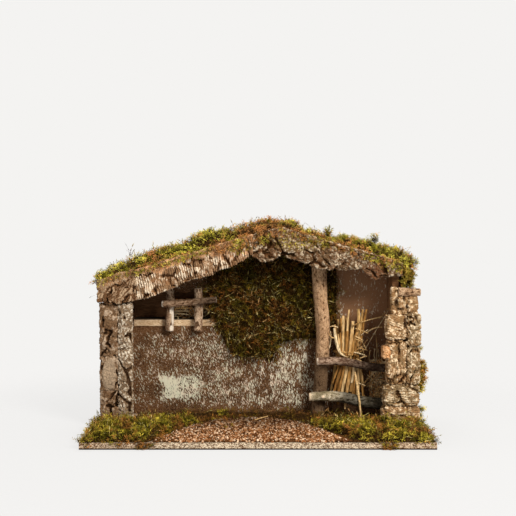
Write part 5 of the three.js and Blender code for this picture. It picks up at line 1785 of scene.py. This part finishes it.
# The tie's loose ends, broken stalks, and long ones to the right
thin_stalks = [
    from_waist((-24, 28, 0), (-22, 20, 1), (-25, 6, 1)),
    from_waist((-24, 34, 0), (-20, 36, 1), (-14, 33, 2)),
    from_waist((-2, -6, 5), (8, 3, 5), (18, 9, 3)),
    from_waist((12, 25, 3), (17, 15, 4), (24, 3, 4)),
    from_waist((4, 34, 2), (13, 40, 3), (17, 41, 2)),
    from_waist((16, 8, 1), (19, 4, 3), (20, -2, 3)),
    from_waist((22, 4, 0), (36, 30, 0), (53, 56, 0)),
    from_waist((24, 26, -1), (34, 34, -1), (44, 33, -1)),
    from_waist((40, 47, -1), (38, 39, -1), (52, 58, -1)),
    from_waist((-26, 26, 0), (-25, 20, 1), (-21, 18, 2), (-16, 20, 1)),
    from_waist((17, 40, 0), (30, 44, 0), (44, 47, 0)),
]


def stray_stalks(count=13):
    """Short broken stalks that stick out of the sheaf to the right, at any angle."""
    made = []
    for _ in range(count):
        right, up, ahead = rng.uniform(11, 28), rng.uniform(-46, 30), rng.uniform(0, 4)
        angle, half = rng.uniform(-0.6, 1.4), rng.uniform(4, 10)
        swing, rise = half * math.cos(angle), half * math.sin(angle)
        ends = (right - swing, up - rise, ahead), (right + swing, up + rise, ahead)
        made.append(from_waist(ends[0], (right, up + 1, ahead), ends[1]))
    return made


# One stalk that lies where the gravel meets the moss at the back
fallen_stalk = [(-4, 0, gravel_top + 1.5), (4, 11, gravel_top + 2.2), (13, 21, gravel_top + 2)]


def over_the_log():
    """A long stalk that leans out between the rails and stands on the moss in front of the lower one."""
    low, high = in_mm(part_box("birch_rail"))
    near, front, knee = waist.y - WAIST_HALF.y, low.y - 3, high.z + 8
    return [(waist.x + 8, near - 4, waist.z - 20), (waist.x + 9, near - 6, knee + 6),
            (waist.x + 12, front, knee - 8), (waist.x + 14, front - 1, 14)]


def add_sheaf():
    turns = [rng.uniform(-0.6, 0.6) for _ in range(SHEAF_STRAWS)]
    layers = [strands("sheaf_stalks", sheaf_paths(), 3.8, 1.2, DEEP_STRAW, 31, slant=turns, broadside=LEVEL)]
    sorts = [
        ("broad", broad_stalks, 5.2, 1.6, GOLDEN, LEVEL),
        ("narrow", narrow_stalks + [over_the_log()], 3.2, 1.3, GOLDEN, LEVEL),
        ("brown", brown_stalks, 4.0, 1.3, DEEP_STRAW, LEVEL),
        ("pale", pale_stalks, 3.8, 1.4, PALE_STRAW, LEVEL),
        ("thin", thin_stalks + stray_stalks() + [fallen_stalk], 1.8, 1.0, PALE_STRAW, (0.1, 0.3, 1.0)),
    ]
    for number, (label, paths, width, thickness, material, broadside) in enumerate(sorts):
        turns = [rng.uniform(-0.3, 0.3) for _ in paths]
        layers.append(strands(f"sheaf_{label}", paths, width, thickness, material, 35 + number, slant=turns,
                              broadside=broadside))
    hand_over(join_pieces("sheaf_of_straw", layers), ["straw_sheaf"])


TIE_TURNS = 16
TIE_STEPS = 120
TIE_STRAW = 1.6
TIE_TWIST = 0.75  # how far each strand runs from the middle of the two


def add_tie():
    """Two thin straws twisted round each other and round the waist."""
    half = (tie_high - tie_low) / 2
    paths = []
    for strand in (0, math.pi):
        path = []
        for number in range(TIE_STEPS + 1):
            angle = 2 * math.pi * number / TIE_STEPS
            twist = TIE_TURNS * angle + strand
            out = TIE_TWIST * math.cos(twist) - TIE_STRAW
            x, y = waist.x + (half.x + out) * math.cos(angle), waist.y + (half.y + out) * math.sin(angle)
            path.append((x, y, waist.z + TIE_TWIST * math.sin(twist)))
        paths.append(path)
    tie = strands("twisted_tie", paths, TIE_STRAW, TIE_STRAW, DEEP_STRAW, 33, corners=6)
    hand_over(tie, ["sheaf_tie"])


add_sheaf()
add_tie()

# %% Hay
CURL_STEPS = 5


def curl(start, length, droop, wildness):
    """One stalk of hay: a random walk that keeps its heading for a while."""
    heading = Vector(rng.normal(0, 1, 3))
    heading.z = abs(heading.z) * droop
    heading.normalize()
    place = Vector(start)
    path = [tuple(place)]
    for _ in range(CURL_STEPS):
        heading = (heading + Vector(rng.normal(0, wildness, 3))).normalized()
        place = place + heading * length / CURL_STEPS
        path.append(tuple(place))
    return path


def keep_within(path, low, high):
    return [tuple(min(max(c, low[k]), high[k]) for k, c in enumerate(place)) for place in path]


def add_hay(name, solid, count, top, width, droop, extra):
    """A tangle of curls in the solid's box up to a top, with a few paler stalks laid on it."""
    low, box_high = in_mm(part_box(solid))
    high = (box_high.x, box_high.y, top)
    paths = []
    for _ in range(count):
        start = [rng.uniform(low[k], high[k]) for k in range(3)]
        paths.append(keep_within(curl(start, rng.uniform(14, 30), droop, 0.45), low, high))
    layers = [strands(name, paths, width, width * 0.6, HAY_PAINTED_LIGHTER, 34, corners=5)]
    layers.append(strands(name + "_pale", extra, 2.0, 1.0, PALE_STRAW, 36))
    hand_over(join_pieces(name, layers), [solid])


low, high = in_mm(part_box("loose_hay"))
leaning = [
    [(low.x + 4 + 4 * k, low.y + 3, low.z + 40), (low.x + 9 - k, low.y + 2, high.z - 30 + 9 * k)]
    for k in range(4)
]
for _ in range(52):
    start = (rng.uniform(low.x, high.x), low.y - rng.uniform(0, 5), rng.uniform(20, 78))
    path = curl(start, rng.uniform(12, 24), 0.9, 0.5)
    leaning.append([(x, start[1] + 0.15 * (y - start[1]), z) for x, y, z in path])
add_hay("hay_in_the_stall", "loose_hay", 170, low.z + 62, 1.9, 0.6, leaning)
low, high = in_mm(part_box("loft_hay"))
lying = [
    [(-112, low.y + 1, 141 + 4 * k), (-104, low.y, 143 + 3 * k * k % 7),
     (-93 + 2 * k, low.y + 1, 140 + 5 * k)]
    for k in range(4)
]
add_hay("hay_in_the_loft", "loft_hay", 150, high.z - 6, 1.1, 0.8, lying)

# %% Clear away the patterns that were scattered
for collection in (SPRIGS, FRONDS, CURLS, CHIPS):
    for pattern in list(collection.objects):
        bpy.data.objects.remove(pattern)
    bpy.data.collections.remove(collection)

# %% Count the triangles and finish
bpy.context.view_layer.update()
total = sum(
    len(face.vertices) - 2
    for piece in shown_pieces()
    if piece.type == "MESH" and not piece.hide_render
    for face in piece.data.polygons
)
print("triangles in all:", total)
